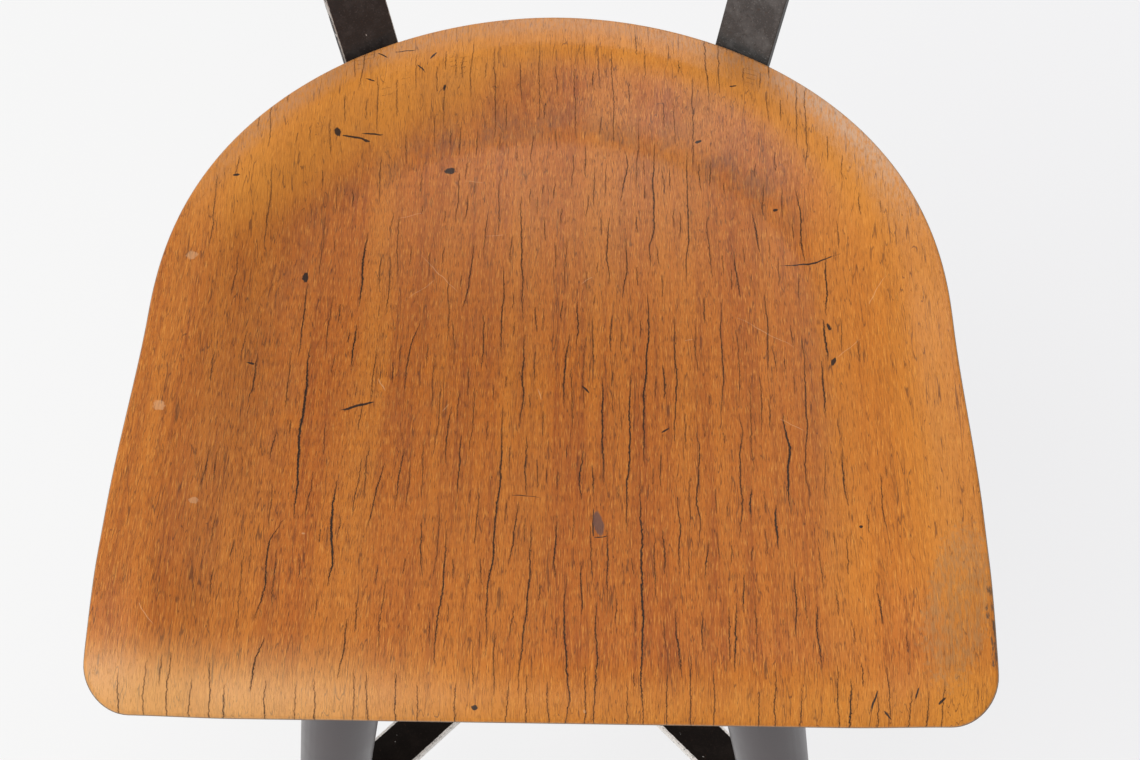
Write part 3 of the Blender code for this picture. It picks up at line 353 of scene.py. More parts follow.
def seat_surface(x, y, depth):
    """Points at a depth under the seat's upper face, in the frame's coordinates."""
    reach = 0.002
    slope_x = (seat_top(x + reach, y) - seat_top(x - reach, y)) / (2 * reach)
    slope_y = (seat_top(x, y + reach) - seat_top(x, y - reach)) / (2 * reach)
    length = np.sqrt(slope_x ** 2 + slope_y ** 2 + 1.0)
    across = x + slope_x / length * depth
    along = y + slope_y / length * depth
    return np.stack([across, along + AXIS_Y, seat_top(x, y) - depth / length], -1)


# ---- moulded sheets
EDGE_ROUNDING = 0.0022
SEAT_COLUMNS = 280
BACKREST_COLUMNS = 90


def make_sheet(name, rows, half_width, half_size, surface, thickness, columns, edge):
    """A moulded sheet with rounded edges, from rows of points across an outline.

    Its points keep how deep in the sheet they lie, as a share of the thickness, in "ply",
    and their flat coordinates in "flat_x" and "flat_y".
    """
    v, u = np.meshgrid(rows, np.linspace(-1.0, 1.0, columns), indexing="ij")
    u = u * half_width(v)
    middle = (rows[0] + rows[-1]) / 2
    loop = [(0, j) for j in range(columns)] + [(i, columns - 1) for i in range(1, len(rows))]
    loop += [(len(rows) - 1, j) for j in range(columns - 2, -1, -1)]
    loop += [(i, 0) for i in range(len(rows) - 2, 0, -1)]
    loop = np.array([i * columns + j for i, j in loop])
    flat_u, flat_v = u.ravel(), v.ravel()

    def inset(index, distance):
        x = flat_u[index] * (1.0 - distance / half_size[0])
        y = flat_v[index] - (flat_v[index] - middle) * distance / half_size[1]
        return x, y

    everything = np.arange(flat_u.size)
    steps = 4
    rounds = [math.pi / 2 * step / steps for step in range(1, steps + 1)]
    arc = [(edge * (1.0 - math.sin(swing)), edge * (1.0 - math.cos(swing))) for swing in rounds]
    layers = [(everything, edge, 0.0)]
    layers += [(loop, into, depth) for into, depth in arc]
    layers += [(loop, 0.0, edge + (thickness - 2 * edge) * step / 4) for step in range(1, 5)]
    layers += [(loop, into, thickness - depth) for depth, into in arc[:-1]]
    layers.append((everything, edge, thickness))
    points, plies, flats, starts = [], [], [], []
    count = 0
    for index, distance, depth in layers:
        x, y = inset(index, distance)
        points.append(surface(x, y, np.full(x.shape, depth)))
        plies.append(np.full(x.shape, depth / thickness))
        flats.append(np.stack([x, y], 1))
        starts.append(count)
        count += x.size
    faces = []
    for start, turned in ((starts[0], False), (starts[-1], True)):
        for i in range(len(rows) - 1):
            base = start + i * columns
            for j in range(columns - 1):
                face = (base + j, base + j + 1, base + columns + j + 1, base + columns + j)
                faces.append(face[::-1] if turned else face)
    rings = [loop + starts[0]]
    rings += [np.arange(loop.size) + start for start in starts[1:-1]]
    rings.append(loop + starts[-1])
    for upper, lower in zip(rings, rings[1:]):
        for k in range(loop.size):
            after = (k + 1) % loop.size
            faces.append((int(upper[after]), int(upper[k]), int(lower[k]), int(lower[after])))
    piece = new_piece(name, np.concatenate(points).tolist(), faces)
    piece.data.shade_smooth()
    x, y = np.concatenate(flats).T
    keep_numbers(piece.data, {"ply": np.concatenate(plies), "flat_x": x, "flat_y": y})
    return piece


def keep_numbers(mesh, columns):
    """Store numbers on a mesh's points."""
    for label, values in columns.items():
        mesh.attributes.new(label, "FLOAT", "POINT").data.foreach_set("value", values.astype(np.float32))


def kept_numbers(mesh, label):
    """Numbers stored on a mesh's points."""
    values = np.zeros(len(mesh.vertices), np.float32)
    mesh.attributes[label].data.foreach_get("value", values)
    return values


# ---- drying cracks in the seat
# Each crack: half width at its widest, then x and y of each point of its path from back to
# front, all in millimetres about the spindle.
LONG_CRACKS = [
    (0.30, -126, 30, -125, 10, -125, 0, -126, -16),
    (0.60, -120, -6, -120, -22, -120, -55, -119, -85, -118, -106),
    (0.46, -97, 62, -98, 50, -97, 32, -98, 14), (0.40, -98, 4, -98, -10, -98, -22),
    (0.22, -107, 17, -107, 4), (0.22, -46, 86, -46, 70), (0.26, -40, 55, -42, 36, -43, 24, -44, 14),
    (0.24, -34, 12, -33, -10, -33, -22), (0.28, -17, 88, -16, 60, -16, 44, -14, 34, -14, 5),
    (0.28, -25, 42, -24, 20, -24, -16), (0.24, -7, 16, -7, 0),
    (0.30, -12, 0, -12, -14, -13, -26, -12, -40, -13, -56), (0.24, -65, 8, -68, -4, -71, -20, -71, -36),
    (0.26, -145, -14, -147, -44), (0.54, -100, -84, -100, -104, -99, -120, -98, -128, -99, -140),
    (0.34, -122, -104, -128, -116, -129, -130, -128, -140, -131, -158),
    (0.34, -125, -164, -128, -173, -129, -190), (0.24, -132, -58, -133, -74),
    (0.24, -47, -42, -48, -60, -48, -76), (0.28, -41, -58, -41, -75, -42, -92),
    (0.36, -22, -40, -21, -60, -22, -95, -23, -120, -25, -138, -24, -160, -25, -174),
    (0.26, -9, -58, -9, -92), (0.26, -12, -94, -14, -110, -15, -128),
    (0.32, -45, -108, -45, -125, -47, -155, -47, -178), (0.26, -57, -104, -57, -125, -56, -134),
    (0.26, -69, -66, -70, -80, -70, -96), (0.26, -78, -74, -80, -92, -83, -110),
    (0.32, -5, -104, -6, -122, -6, -150, -9, -174, -9, -190), (0.32, 7, -104, 5, -124, 6, -134),
    (0.26, -88, -154, -89, -170, -90, -184), (0.22, 17, 121, 17, 98),
    (0.26, 39, 117, 39, 104, 37, 94, 36, 82), (0.32, 54, 122, 53, 98, 54, 88, 53, 64, 51, 54, 52, 38),
    (0.40, 50, 26, 50, -6, 49, -26, 47, -36, 48, -58, 48, -76),
    (0.42, 46, -80, 46, -120, 47, -140, 46, -170, 47, -206),
    (0.26, 71, 118, 71, 100, 72, 88, 71, 60, 70, 30), (0.24, 30, 73, 29, 46, 30, 28),
    (0.30, 14, 20, 14, 6, 14, -8), (0.32, 10, 0, 9, -12, 8, -42), (0.26, 32, 12, 31, -12),
    (0.36, 27, -24, 27, -42, 28, -60, 28, -86), (0.24, 39, 60, 39, 42, 37, 20), (0.28, 79, 22, 79, 6),
    (0.28, 95, 52, 96, 36, 97, 22), (0.30, 106, 76, 107, 58, 108, 50),
    (0.30, 127, 86, 130, 74, 131, 44), (0.34, 142, 47, 141, 28, 140, 12), (0.44, 139, 10, 139, -16),
    (0.36, 136, -14, 136, -30, 137, -48), (0.24, 110, 26, 110, -22),
    (0.28, 127, 2, 128, -28, 127, -48, 125, -74, 127, -92), (0.26, 87, 20, 87, -20, 86, -46),
    (0.30, 63, 12, 64, -24, 63, -40, 63, -64), (0.36, 41, -20, 41, -46, 40, -80, 39, -112),
    (0.34, 57, -18, 58, -38), (0.28, 73, -54, 74, -66, 73, -94, 74, -104, 73, -116),
    (0.28, 94, -44, 95, -56, 94, -70, 94, -90, 92, -114), (0.40, 99, -86, 98, -102),
    (0.50, 110, -94, 110, -118), (0.54, 116, -44, 117, -58, 118, -66, 116, -76, 117, -96),
    (0.28, 143, -64, 143, -80, 144, -96), (0.28, 126, -144, 126, -158, 127, -176),
    (0.26, 117, -128, 116, -162), (0.30, 154, -140, 155, -156), (0.30, 89, -144, 89, -160, 88, -179),
    (0.26, 93, -130, 93, -150), (0.28, 77, -114, 76, -132), (0.26, 63, -90, 64, -106, 64, -130),
    (0.24, 56, -108, 57, -132), (0.28, 61, -148, 63, -166, 64, -182),
    (0.32, 11, -130, 11, -150, 12, -178, 14, -190, 12, -207), (0.30, 18, -66, 17, -82, 18, -94),
    (0.28, 18, -124, 18, -140, 19, -152), (0.28, 26, -144, 25, -158, 26, -176, 25, -204),
    (0.28, 30, -108, 30, -125, 31, -142), (0.34, 139, -180, 138, -208), (0.26, 23, -74, 23, -92),
]
SMALL_CRACKS = 900  # tries, most of which find no room
CRACK_SETS = 3
CRACK_SPACING = 2.9  # the least, between small cracks side by side
SET_SPACING = 8.0  # the least, between cracks of the same set
FRONT_CRACKS = 40  # short ones that run out over the front lip
WIGGLE = 0.014  # sideways swing of a crack, as a share of the swing's length


def crack_paths():
    """Sets of cracks, each a list of half width and path, with the cracks of a set well apart."""
    sets = [[] for _ in range(CRACK_SETS)]

    def place(width, points):
        if all(clear_of(points, other, CRACK_SPACING) for cracks in sets for _, other in cracks):
            add(width, points)

    def add(width, points):
        for cracks in sets:
            if all(clear_of(points, other, SET_SPACING) for _, other in cracks):
                cracks.append((width, points))
                return

    for width, *path in LONG_CRACKS:
        add(width, np.array(path, float).reshape(-1, 2))
    draw = random.Random(41)
    for step in range(FRONT_CRACKS):
        x = -186.0 + 376.0 * (step + draw.uniform(-0.32, 0.32)) / FRONT_CRACKS
        start = (x + draw.uniform(-1.5, 1.5), draw.uniform(-186.0, -170.0))
        place(draw.uniform(0.12, 0.20), np.array([start, (x, -212.0)]))
    for _ in range(SMALL_CRACKS):
        x = draw.triangular(-185.0, 175.0, 45.0)
        y = draw.uniform(-190.0, 172.0)
        length = draw.uniform(7.0, 20.0) if draw.random() < 0.6 else draw.uniform(20.0, 50.0)
        lean = draw.uniform(-0.045, 0.045)
        width = draw.uniform(0.10, 0.19)
        aside = lean * length / 2
        place(width, np.array([(x + aside, y + length / 2), (x - aside, y - length / 2)]))
    return sets


def clear_of(points, other, spacing):
    """Whether a path keeps its distance from another one beside it."""
    if points[:, 1].min() > other[:, 1].max() + 5.0 or points[:, 1].max() < other[:, 1].min() - 5.0:
        return True
    heights = np.linspace(points[-1, 1], points[0, 1], 7)
    mine = np.interp(heights, points[::-1, 1], points[::-1, 0])
    theirs = np.interp(heights, other[::-1, 1], other[::-1, 0])
    return np.abs(mine - theirs).min() > spacing


def crack_fields(x, y):
    """For each point and set: signed and plain distance to the nearest crack, and its half width."""
    fields = {}
    draw = random.Random(5)
    for number, cracks in enumerate(crack_paths()):
        side = np.full(x.shape, 9.0)
        near = np.full(x.shape, 9.0)
        width = np.full(x.shape, -1.0)
        for widest, path in cracks:
            low, high = path[-1, 1], path[0, 1]
            here = (y > low - 5.0) & (y < high + 5.0)
            line = np.interp(y[here], path[::-1, 1], path[::-1, 0])
            for size in (31.0, 13.0, 6.0):
                phase = draw.uniform(0.0, math.tau)
                line = line + size * WIGGLE * np.sin(y[here] / size * math.tau / 1.5 + phase)
            offset = x[here] - line
            share = (y[here] - (low + high) / 2) / ((high - low) / 2)
            taper = 0.88 * widest * (1.0 - np.abs(share) ** 2.6)
            nearer = np.abs(offset) < near[here]
            index = np.flatnonzero(here)[nearer]
            side[index] = offset[nearer]
            near[index] = np.abs(offset[nearer])
            width[index] = taper[nearer]
        fields[f"crack_side_{number}"] = side
        fields[f"crack_near_{number}"] = near
        fields[f"crack_width_{number}"] = width
    return fields


def bell(value, centre, spread):
    """A smooth hump."""
    return np.exp(-((value - centre) / spread) ** 2)


# darker smudges in the band of dirt: place, strength and reach, millimetres about the spindle
SMUDGES = (
    (-18, 158, 0.30, 24), (-60, 146, 0.26, 17), (74, 133, 0.42, 15),
    (103, 108, 0.46, 17), (114, 90, 0.30, 12), (-108, 120, 0.22, 13),
)


def wear_fields(x, y):
    """Where dirt has gathered on the seat, and where painted light, sheen and reflections lift its colour;
    metres about the spindle.
    """
    inward = distance_to_rim(x, y)
    behind = ease((y - 0.045) / 0.060)
    grime = 0.74 * bell(inward, 0.0580, 0.0085) * behind * (0.5 + 0.5 * ease((x + 0.100) / 0.050))
    for east, north, strength, spread in SMUDGES:
        grime += strength * bell(np.hypot(x - east * MM, (y - north * MM) * 1.3), 0.0, spread * MM)
    grime += 0.26 * bell(inward, 0.066, 0.014) * (1.0 - behind) * ease((y + 0.150) / 0.120)
    grime += 0.22 * bell(x, -0.050, 0.090) * bell(y, -0.030, 0.110)
    # painted light: a lighter colour on the right, along the rim, on the front lip that faces the light
    # and on the left back slope
    light = 0.42 * ease((x - 0.080) / 0.080) * ease((y + 0.200) / 0.080)
    light += 0.55 * ease((0.040 - inward) / 0.020) * ease((y - 0.040) / 0.080)
    light += 0.60 * ease((-y - 0.165) / 0.030)
    light += 0.28 * ease((0.050 - inward) / 0.030)
    light += 0.75 * bell(inward, 0.036, 0.019) * ease(-x / 0.060) * ease((y - 0.030) / 0.060)
    # painted sheen: a paler, greyer cast towards the back centre
    broad_reflection = bell(x, 0.010, 0.110) * bell(y, 0.080, 0.065)
    # painted highlight on the front left lip
    lip_highlight = ease((-y - 0.158) / 0.034) * ease(-x / 0.140)
    # painted reflection along the back rim, wider and paler at the right rear
    rim_reflection = 0.75 * ease((0.016 - inward) / 0.010) * ease((y - 0.045) / 0.080)
    right_rear = ease((y - 0.030) / 0.060) * ease((x - 0.030) / 0.100)
    rim_reflection += 0.25 * ease((0.028 - inward) / 0.014) * right_rear
    return {"grime": grime, "light": light, "rim_reflection": rim_reflection, "broad_reflection": broad_reflection, "lip_highlight": lip_highlight}


def seat_rows():
    """Distances from front to back, closer where the outline turns fast."""
    corner = SEAT_CORNER * np.sin(np.radians(np.linspace(90.0, 0.0, 15)))
    front = SEAT_CORNER - SEAT_FRONT - corner
    middle = np.linspace(SEAT_CORNER - SEAT_FRONT, 0.090, 88)[1:]
    first_turn = math.degrees(math.asin(0.090 / SEAT_BACK))
    back = SEAT_BACK * np.sin(np.radians(np.linspace(first_turn, 89.4, 42)))[1:]
    return np.concatenate([front, middle, back])


# ---- wood
DARK_MARKS = [  # x, y, half length along, half width in millimetres, turn in degrees
    (-56, 102, 3.9, 2.6, -4), (-116, 114, 2, 2.6, 15), (-106, 113, 8, 0.6, 4), (-98, 117, 6, 0.5, 12),
    (-127, 33, 1.5, 3.6, 4), (133, 44, 17, 0.45, 6), (77, 119, 1.6, 0.9, 0), (143, -16, 1.1, 2.6, -8),
    (20, -33, 0.6, 3.4, 38), (57, -55, 2.4, 0.7, 35), (148, -107, 1, 0.9, 0), (-93, -43, 9, 1, 14),
    (141, 5, 1, 3, 25), (-149, -21, 2.4, 0.8, -8), (-94, 160, 4, 0.5, -30), (-82, 163, 5, 0.4, 12),
    (-66, 160, 3.4, 0.6, 55), (-72, 152, 3, 0.4, -40), (-60, 145, 2, 0.8, 70),
    (150, -190, 4.5, 0.5, 62), (168, -187, 3.5, 0.4, 70), (-100, 143, 2.5, 0.5, -25),
    (117, 77, 1.6, 1, 30), (95, 142, 2, 0.5, 10), (-165, 84, 2.2, 0.8, 10), (24, -105, 0.4, 8.5, 1),
    (27, -112, 3.4, 0.35, 12), (-9, -92, 8, 0.25, -4), (155, -196, 2.6, 0.5, -50),
    (179, -190, 2.4, 0.6, 30), (160, -202, 7, 0.4, 4), (-28, -195, 1.6, 1.2, 0),
]
PALE_MARKS = [
    (-184, 36, 3.2, 2.8, 0), (-187, -52, 3.6, 3, 0), (-113, -113, 0.9, 0.6, 0), (20, -195, 0.8, 0.8, 0),
    (-58, 36, 17, 0.22, -48), (-66, 26, 12, 0.18, 42), (110, 1, 19, 0.22, -33), (71, -4, 3.5, 0.22, 18),
    (-49, -44, 3, 0.22, 50), (-83, -31, 0.3, 4, 22), (-178, -158, 6, 0.25, -48), (18, 31, 4, 0.22, 38),
    (150, -10, 9, 0.22, 35), (-30, 60, 6, 0.18, 10), (165, 20, 9, 0.2, 60), (-165, -100, 2.4, 1.8, 15),
    (-4, -36, 0.3, 4, 20), (-75, 72, 8, 0.18, 12), (120, -52, 8, 0.18, -30), (-42, 95, 7, 0.16, -8),
]


def wood_colour(look, grain_place=None):
    """Varnished beech: long streaks, short dark pores and pale flecks. Gives colour and pore depth."""
    bands = look.noise((26, 620, 40), 2.0, 0.55, grain_place)
    streaks = look.noise((2.4, 95, 9), 3.0, 0.6, grain_place, shift=(3, 1, 0))
    fibres = look.noise((0.55, 6.5, 3), 2.0, 0.6, grain_place, warp=0.2, shift=(7, 2, 0))
    pores = look.noise((0.27, 5.6, 2), 2.0, 0.6, grain_place, warp=0.15, shift=(1, 9, 0))
    clouds = look.noise((55, 80, 60), 3.0, 0.55, grain_place, shift=(4, 4, 0))
    deep, warm, pale = (0.325, 0.074, 0.0060), (0.475, 0.128, 0.0090), (0.630, 0.222, 0.022)
    colour = look.blend(look.span(streaks, 0.30, 0.62), deep, warm)
    colour = look.blend(look.span(bands, 0.40, 0.66, 0.0, 0.45), colour, pale)
    colour = look.blend(look.span(clouds, 0.35, 0.70, 0.0, 0.30), colour, (0.385, 0.098, 0.009))
    colour = look.blend(look.span(fibres, 0.50, 0.72, 0.0, 0.70), colour, (0.68, 0.270, 0.045))
    dark = look.span(pores, 0.57, 0.64)
    return colour, dark, clouds, fibres


def seat_wood():
    """The seat's top: cracked, dirty and scratched old varnish on beech, with painted light, sheen and
    reflections.
    """
    look = Finish("seat_beech", Coat_Weight=0.12, Coat_Roughness=0.30, Specular_IOR_Level=0.32)
    look.place = look.moved(shift=TO_SPINDLE)
    look.rough_edge = look.noise((1.6, 2.2, 2), 2.0, 0.6)
    colour, pores, clouds, fibres = wood_colour(look)
    light, grime, rim_reflection = (look.attribute(name) for name in ("light", "grime", "rim_reflection"))
    # painted light: the colour is lifted towards pale orange where the 'light' field is high
    colour = look.blend(look.span(light, 0.0, 1.0, 0.0, 0.55), colour, (0.70, 0.275, 0.026))
    # pores show less where the painted light lifts the colour, so most away from the rim
    pore_share = look.times(pores, look.span(light, 0.0, 0.8, 0.70, 0.26))
    colour = look.blend(pore_share, colour, (0.120, 0.030, 0.006))
    # hair-thin checks between the cracks
    sizes = (((3.4, 46, 20), 0.013), ((7, 90, 20), 0.008))
    hairs = look.calc("MAXIMUM", *(hairlines(look, *size) for size in sizes))
    colour = look.blend(look.times(hairs, 0.62), colour, (0.085, 0.024, 0.006))
    # dirt in the dish slope
    patches = look.noise((13, 11, 20), 5.0, 0.68, shift=(2, 5, 0))
    fine_dirt = look.noise((1.3, 6, 5), 3.0, 0.65, shift=(7, 5, 0))
    dirt = look.times(grime, look.span(patches, 0.40, 0.60, 0.20, 1.0))
    dirt = look.times(dirt, look.span(fine_dirt, 0.36, 0.62, 0.55, 1.0))
    colour = look.blend(look.times(dirt, 0.60), colour, (0.130, 0.062, 0.043))
    # painted sheen: a paler, greyer cast towards the back centre
    broad_reflection = look.times(look.attribute("broad_reflection"), 0.09)
    colour = look.blend(broad_reflection, colour, (0.62, 0.42, 0.24))
    # painted highlight on the front left lip
    lip_highlight = look.times(look.attribute("lip_highlight"), 0.24)
    colour = look.blend(lip_highlight, colour, (0.92, 0.64, 0.30))
    # painted reflection: a thin, speckled greyish band along the back rim, paler at the right rear
    speckle = look.noise((1.1, 4, 3), 3.0, 0.7, shift=(9, 9, 0))
    rim_reflection_share = look.times(rim_reflection, look.span(speckle, 0.32, 0.62, 0.15, 0.78))
    east = look.axes()[0]
    rim_reflection_colour = look.blend(look.span(east, 0.100, 0.160), (0.45, 0.235, 0.120), (0.56, 0.385, 0.270))
    colour = look.blend(rim_reflection_share, colour, rim_reflection_colour)
    # cracks
    wobble = look.noise((6, 2.4, 3), 5.0, 0.78, shift=(6, 3, 0))
    shift = look.calc("MULTIPLY_ADD", wobble, 2.2, -1.1)
    jags = look.noise((1.4, 1, 3), 2.0, 0.7, shift=(3, 5, 0))
    shift = look.calc("ADD", shift, look.calc("MULTIPLY_ADD", jags, 1.0, -0.5))
    cracks = [crack_masks(look, number, shift) for number in range(CRACK_SETS)]
    crack, halo = cracks[0]
    for more_crack, more_halo in cracks[1:]:
        crack = look.calc("MAXIMUM", crack, more_crack)
        halo = look.calc("MAXIMUM", halo, more_halo)
    colour = look.blend(halo, colour, (0.16, 0.055, 0.020))
    colour = look.blend(crack, colour, (0.014, 0.006, 0.002))
    # marks
    warped = bend_places(look)
    dark = all_marks(look, DARK_MARKS, warped, 0.9)
    colour = look.blend(look.times(dark, 0.96), colour, (0.014, 0.007, 0.005))
    oval = look.mark(26.5, -105, 2.7, 7.0, 6, warped, 0.4)
    colour = look.blend(look.times(oval, 0.85), colour, (0.120, 0.062, 0.050))
    pale = all_marks(look, PALE_MARKS, warped, 1.1)
    colour = look.blend(look.times(pale, 0.36), colour, (0.74, 0.46, 0.25))
    worn_corner = look.mark(188, -148, 17.0, 42.0, -12, warped, 0.9)
    rubbed = look.times(worn_corner, look.span(fine_dirt, 0.40, 0.60, 0.12, 0.60))
    colour = look.blend(rubbed, colour, (0.36, 0.180, 0.062))
    stain = look.mark(203, -160, 2.2, 20.0, 3, warped, 1.2)
    stain = look.times(stain, look.span(fine_dirt, 0.42, 0.55, 0.1, 0.9))
    colour = look.blend(stain, colour, (0.090, 0.050, 0.030))
    colour = ply_edge(look, colour)
    roughness = look.span(clouds, 0.3, 0.7, 0.40, 0.54)
    roughness = look.calc("ADD", roughness, look.times(dirt, 0.15))
    look.bump(look.times(crack, -1.0), 0.9)
    look.bump(look.calc("MULTIPLY_ADD", pores, -0.6, look.times(fibres, 0.5)), 0.10)
    waves = look.noise((14, 60, 20))
    look.bump(waves, 0.30)
    return look.finish(colour, roughness)


def crack_masks(look, number, shift):
    """How dark a set's cracks are, and the stain beside them."""
    side = look.calc("ADD", look.attribute(f"crack_side_{number}"), shift)
    width = look.attribute(f"crack_width_{number}")
    reach = look.calc("SUBTRACT", width, look.calc("ABSOLUTE", side))
    beside = look.span(look.attribute(f"crack_near_{number}"), 3.6, 2.6)
    beside = look.times(beside, look.span(width, 0.0, 0.06))
    dark = look.times(beside, look.span(width, 0.05, 0.34, 0.60, 0.96))
    crack = look.times(look.span(reach, -0.08, 0.12), dark)
    halo = look.times(look.span(reach, -0.8, 0.1, 0.0, 0.24), beside)
    return crack, halo


def hairlines(look, size, half_width):
    """Long hair-thin lines along the grain, broken into lengths."""
    wave = look.noise(size, 2.0, 0.6, shift=(2, 8, 0))
    offset = look.calc("ABSOLUTE", look.calc("SUBTRACT", wave, 0.5))
    line = look.span(offset, half_width, half_width * 0.3)
    breaks = look.noise((size[0] * 1.5, size[1] * 0.35, 20), 2.0, 0.6, shift=(5, 5, 0))
    return look.times(line, look.span(breaks, 0.46, 0.56))


def all_marks(look, table, place, ragged):
    """One mask of every mark in a table."""
    mask = look.mark(*table[0], place, ragged)
    for row in table[1:]:
        mask = look.calc("MAXIMUM", mask, look.mark(*row, place, ragged))
    return mask


def bend_places(look):
    """Coordinates pushed about a little, so that straight marks come out uneven."""
    node = look.node("TexNoise")
    look.wire(node, Vector=look.place, Scale=60.0, Detail=2.0)
    swing = (0.006, 0.006, 0.0)
    centre = (-0.003, -0.003, 0.0)
    push = look.vector("MULTIPLY_ADD", node.outputs["Color"], swing, centre)
    return look.vector("ADD", look.place, push)


def ply_edge(look, colour):
    """Turn the sheet's edge into thin plies, light and dark in turn, with a dirty first glue line."""
    depth = look.attribute("ply")
    uneven = look.noise((9, 9, 3))
    layer = look.calc("MULTIPLY_ADD", uneven, 0.05, depth)
    wave = look.calc("SINE", look.times(layer, math.tau * 4.0))
    plies = look.blend(look.span(wave, -0.35, 0.35), (0.27, 0.130, 0.052), (0.47, 0.27, 0.125))
    fibre = look.noise((2, 2, 0.5), 3.0, 0.7)
    plies = look.blend(look.span(fibre, 0.45, 0.68, 0.0, 0.6), plies, (0.13, 0.060, 0.028))
    top_line = look.times(look.span(depth, 0.05, 0.09), look.span(depth, 0.20, 0.13))
    plies = look.blend(look.times(top_line, 0.65), plies, (0.050, 0.026, 0.014))
    inside = look.times(look.span(depth, 0.035, 0.075), look.span(depth, 0.985, 0.955))
    return look.blend(inside, colour, plies)


def plain_wood(name, dark, upright=False):
    """Varnished beech in better state, for the backrest and the seat's underside."""
    look = Finish(name, Coat_Weight=0.15, Coat_Roughness=0.28, Specular_IOR_Level=0.35)
    if upright:
        place = look.node("CombineXYZ")
        look.plug(place.inputs[0], look.attribute("flat_y"))
        look.plug(place.inputs[1], look.attribute("flat_x"))
        place = place.outputs[0]
    else:
        place = look.moved()
    colour, pores, clouds, fibres = wood_colour(look, grain_place=place)
    colour = look.blend(look.times(pores, 0.55), colour, (0.10, 0.030, 0.010))
    colour = look.blend(look.span(clouds, 0.3, 0.7, 0.10, dark), colour, (0.16, 0.060, 0.026))
    colour = ply_edge(look, colour)
    look.bump(look.calc("MULTIPLY_ADD", pores, -0.6, look.times(fibres, 0.5)), 0.08)
    return look.finish(colour, look.span(clouds, 0.3, 0.7, 0.38, 0.55))


# ---- paint, metal, rubber
def bar_paint(name, heading, base, edge, strip, wear, gloss, side_worn, shine):
    """Old enamel on a flat bar: worn to the metal along both edges, with chips and dust."""
    look = Finish(name, Specular_IOR_Level=shine, Coat_Weight=shine / 4, Coat_Roughness=0.25)
    along = look.moved(turn=-heading, place=look.moved(shift=TO_SPINDLE))
    across = look.calc("ABSOLUTE", look.axes(along)[1])
    coordinates = look.node("TexCoord")
    facing = look.moved(turn=-heading, place=coordinates.outputs["Normal"])
    sideways = look.calc("ABSOLUTE", look.axes(facing)[1])
    ragged = look.noise(2.6, 5.0, 0.70)
    edge_share = look.calc("MULTIPLY_ADD", ragged, wear * MM, across)
    bare = look.span(edge_share, strip * MM, (strip + 0.4) * MM)
    flat_side = look.span(sideways, 0.93, 0.99)
    patchy = look.noise(9, 4.0, 0.7, shift=(6, 2, 2))
    islands = look.span(patchy, side_worn, side_worn + 0.04, 1.0, 0.0)
    kept_paint = look.times(flat_side, islands)
    bare = look.times(bare, look.calc("SUBTRACT", 1.0, kept_paint))
    chips = look.noise(5, 4.0, 0.62, shift=(3, 8, 1))
    bare = look.calc("MAXIMUM", bare, look.span(chips, 0.705, 0.735))
    dust = look.noise(11, 5.0, 0.7, shift=(5, 1, 6))
    dusty = tuple(item * 2.6 + 0.005 for item in base)
    colour = look.blend(look.span(dust, 0.44, 0.70, 0.0, 0.55), base, dusty)
    specks = look.noise(0.9, 2.0, 0.6, shift=(2, 2, 7))
    speck_tone = tuple(item * 4.0 + 0.010 for item in base)
    colour = look.blend(look.span(specks, 0.58, 0.74, 0.0, 0.6), colour, speck_tone)
    rust = look.noise(2.2, 4.0, 0.7, shift=(1, 1, 9))
    colour = look.blend(look.span(rust, 0.62, 0.72, 0.0, 0.55), colour, (0.060, 0.026, 0.012))
    metal = look.blend(look.span(rust, 0.52, 0.68), edge, tuple(item * 0.45 for item in edge))
    colour = look.blend(bare, colour, metal)
    look.wire(look.shader, Metallic=look.times(bare, 0.35))
    look.bump(look.times(bare, -1.0), 0.12)
    look.bump(look.noise(1.4, 3.0, 0.6), 0.06)
    roughness = look.span(dust, 0.3, 0.7, gloss, gloss + 0.16)
    return look.finish(colour, look.calc("MULTIPLY_ADD", flat_side, 0.35, roughness))


def cast_paint(name, base, gloss):
    """Thick enamel over a cast surface: lumpy, dusty and chipped."""
    look = Finish(name, Specular_IOR_Level=0.5, Coat_Weight=0.2, Coat_Roughness=0.3)
    lumps = look.noise(6, 4.0, 0.6)
    chips = look.noise(4.2, 5.0, 0.66, shift=(2, 7, 3))
    chip = look.span(chips, 0.69, 0.72)
    dusty = tuple(item * 2.6 + 0.008 for item in base)
    colour = look.blend(look.span(lumps, 0.42, 0.72, 0.0, 0.5), base, dusty)
    colour = look.blend(chip, colour, (0.20, 0.165, 0.140))
    look.bump(lumps, 0.35)
    look.bump(look.times(chip, -1.0), 0.10)
    return look.finish(colour, look.span(lumps, 0.3, 0.7, gloss, gloss + 0.18))


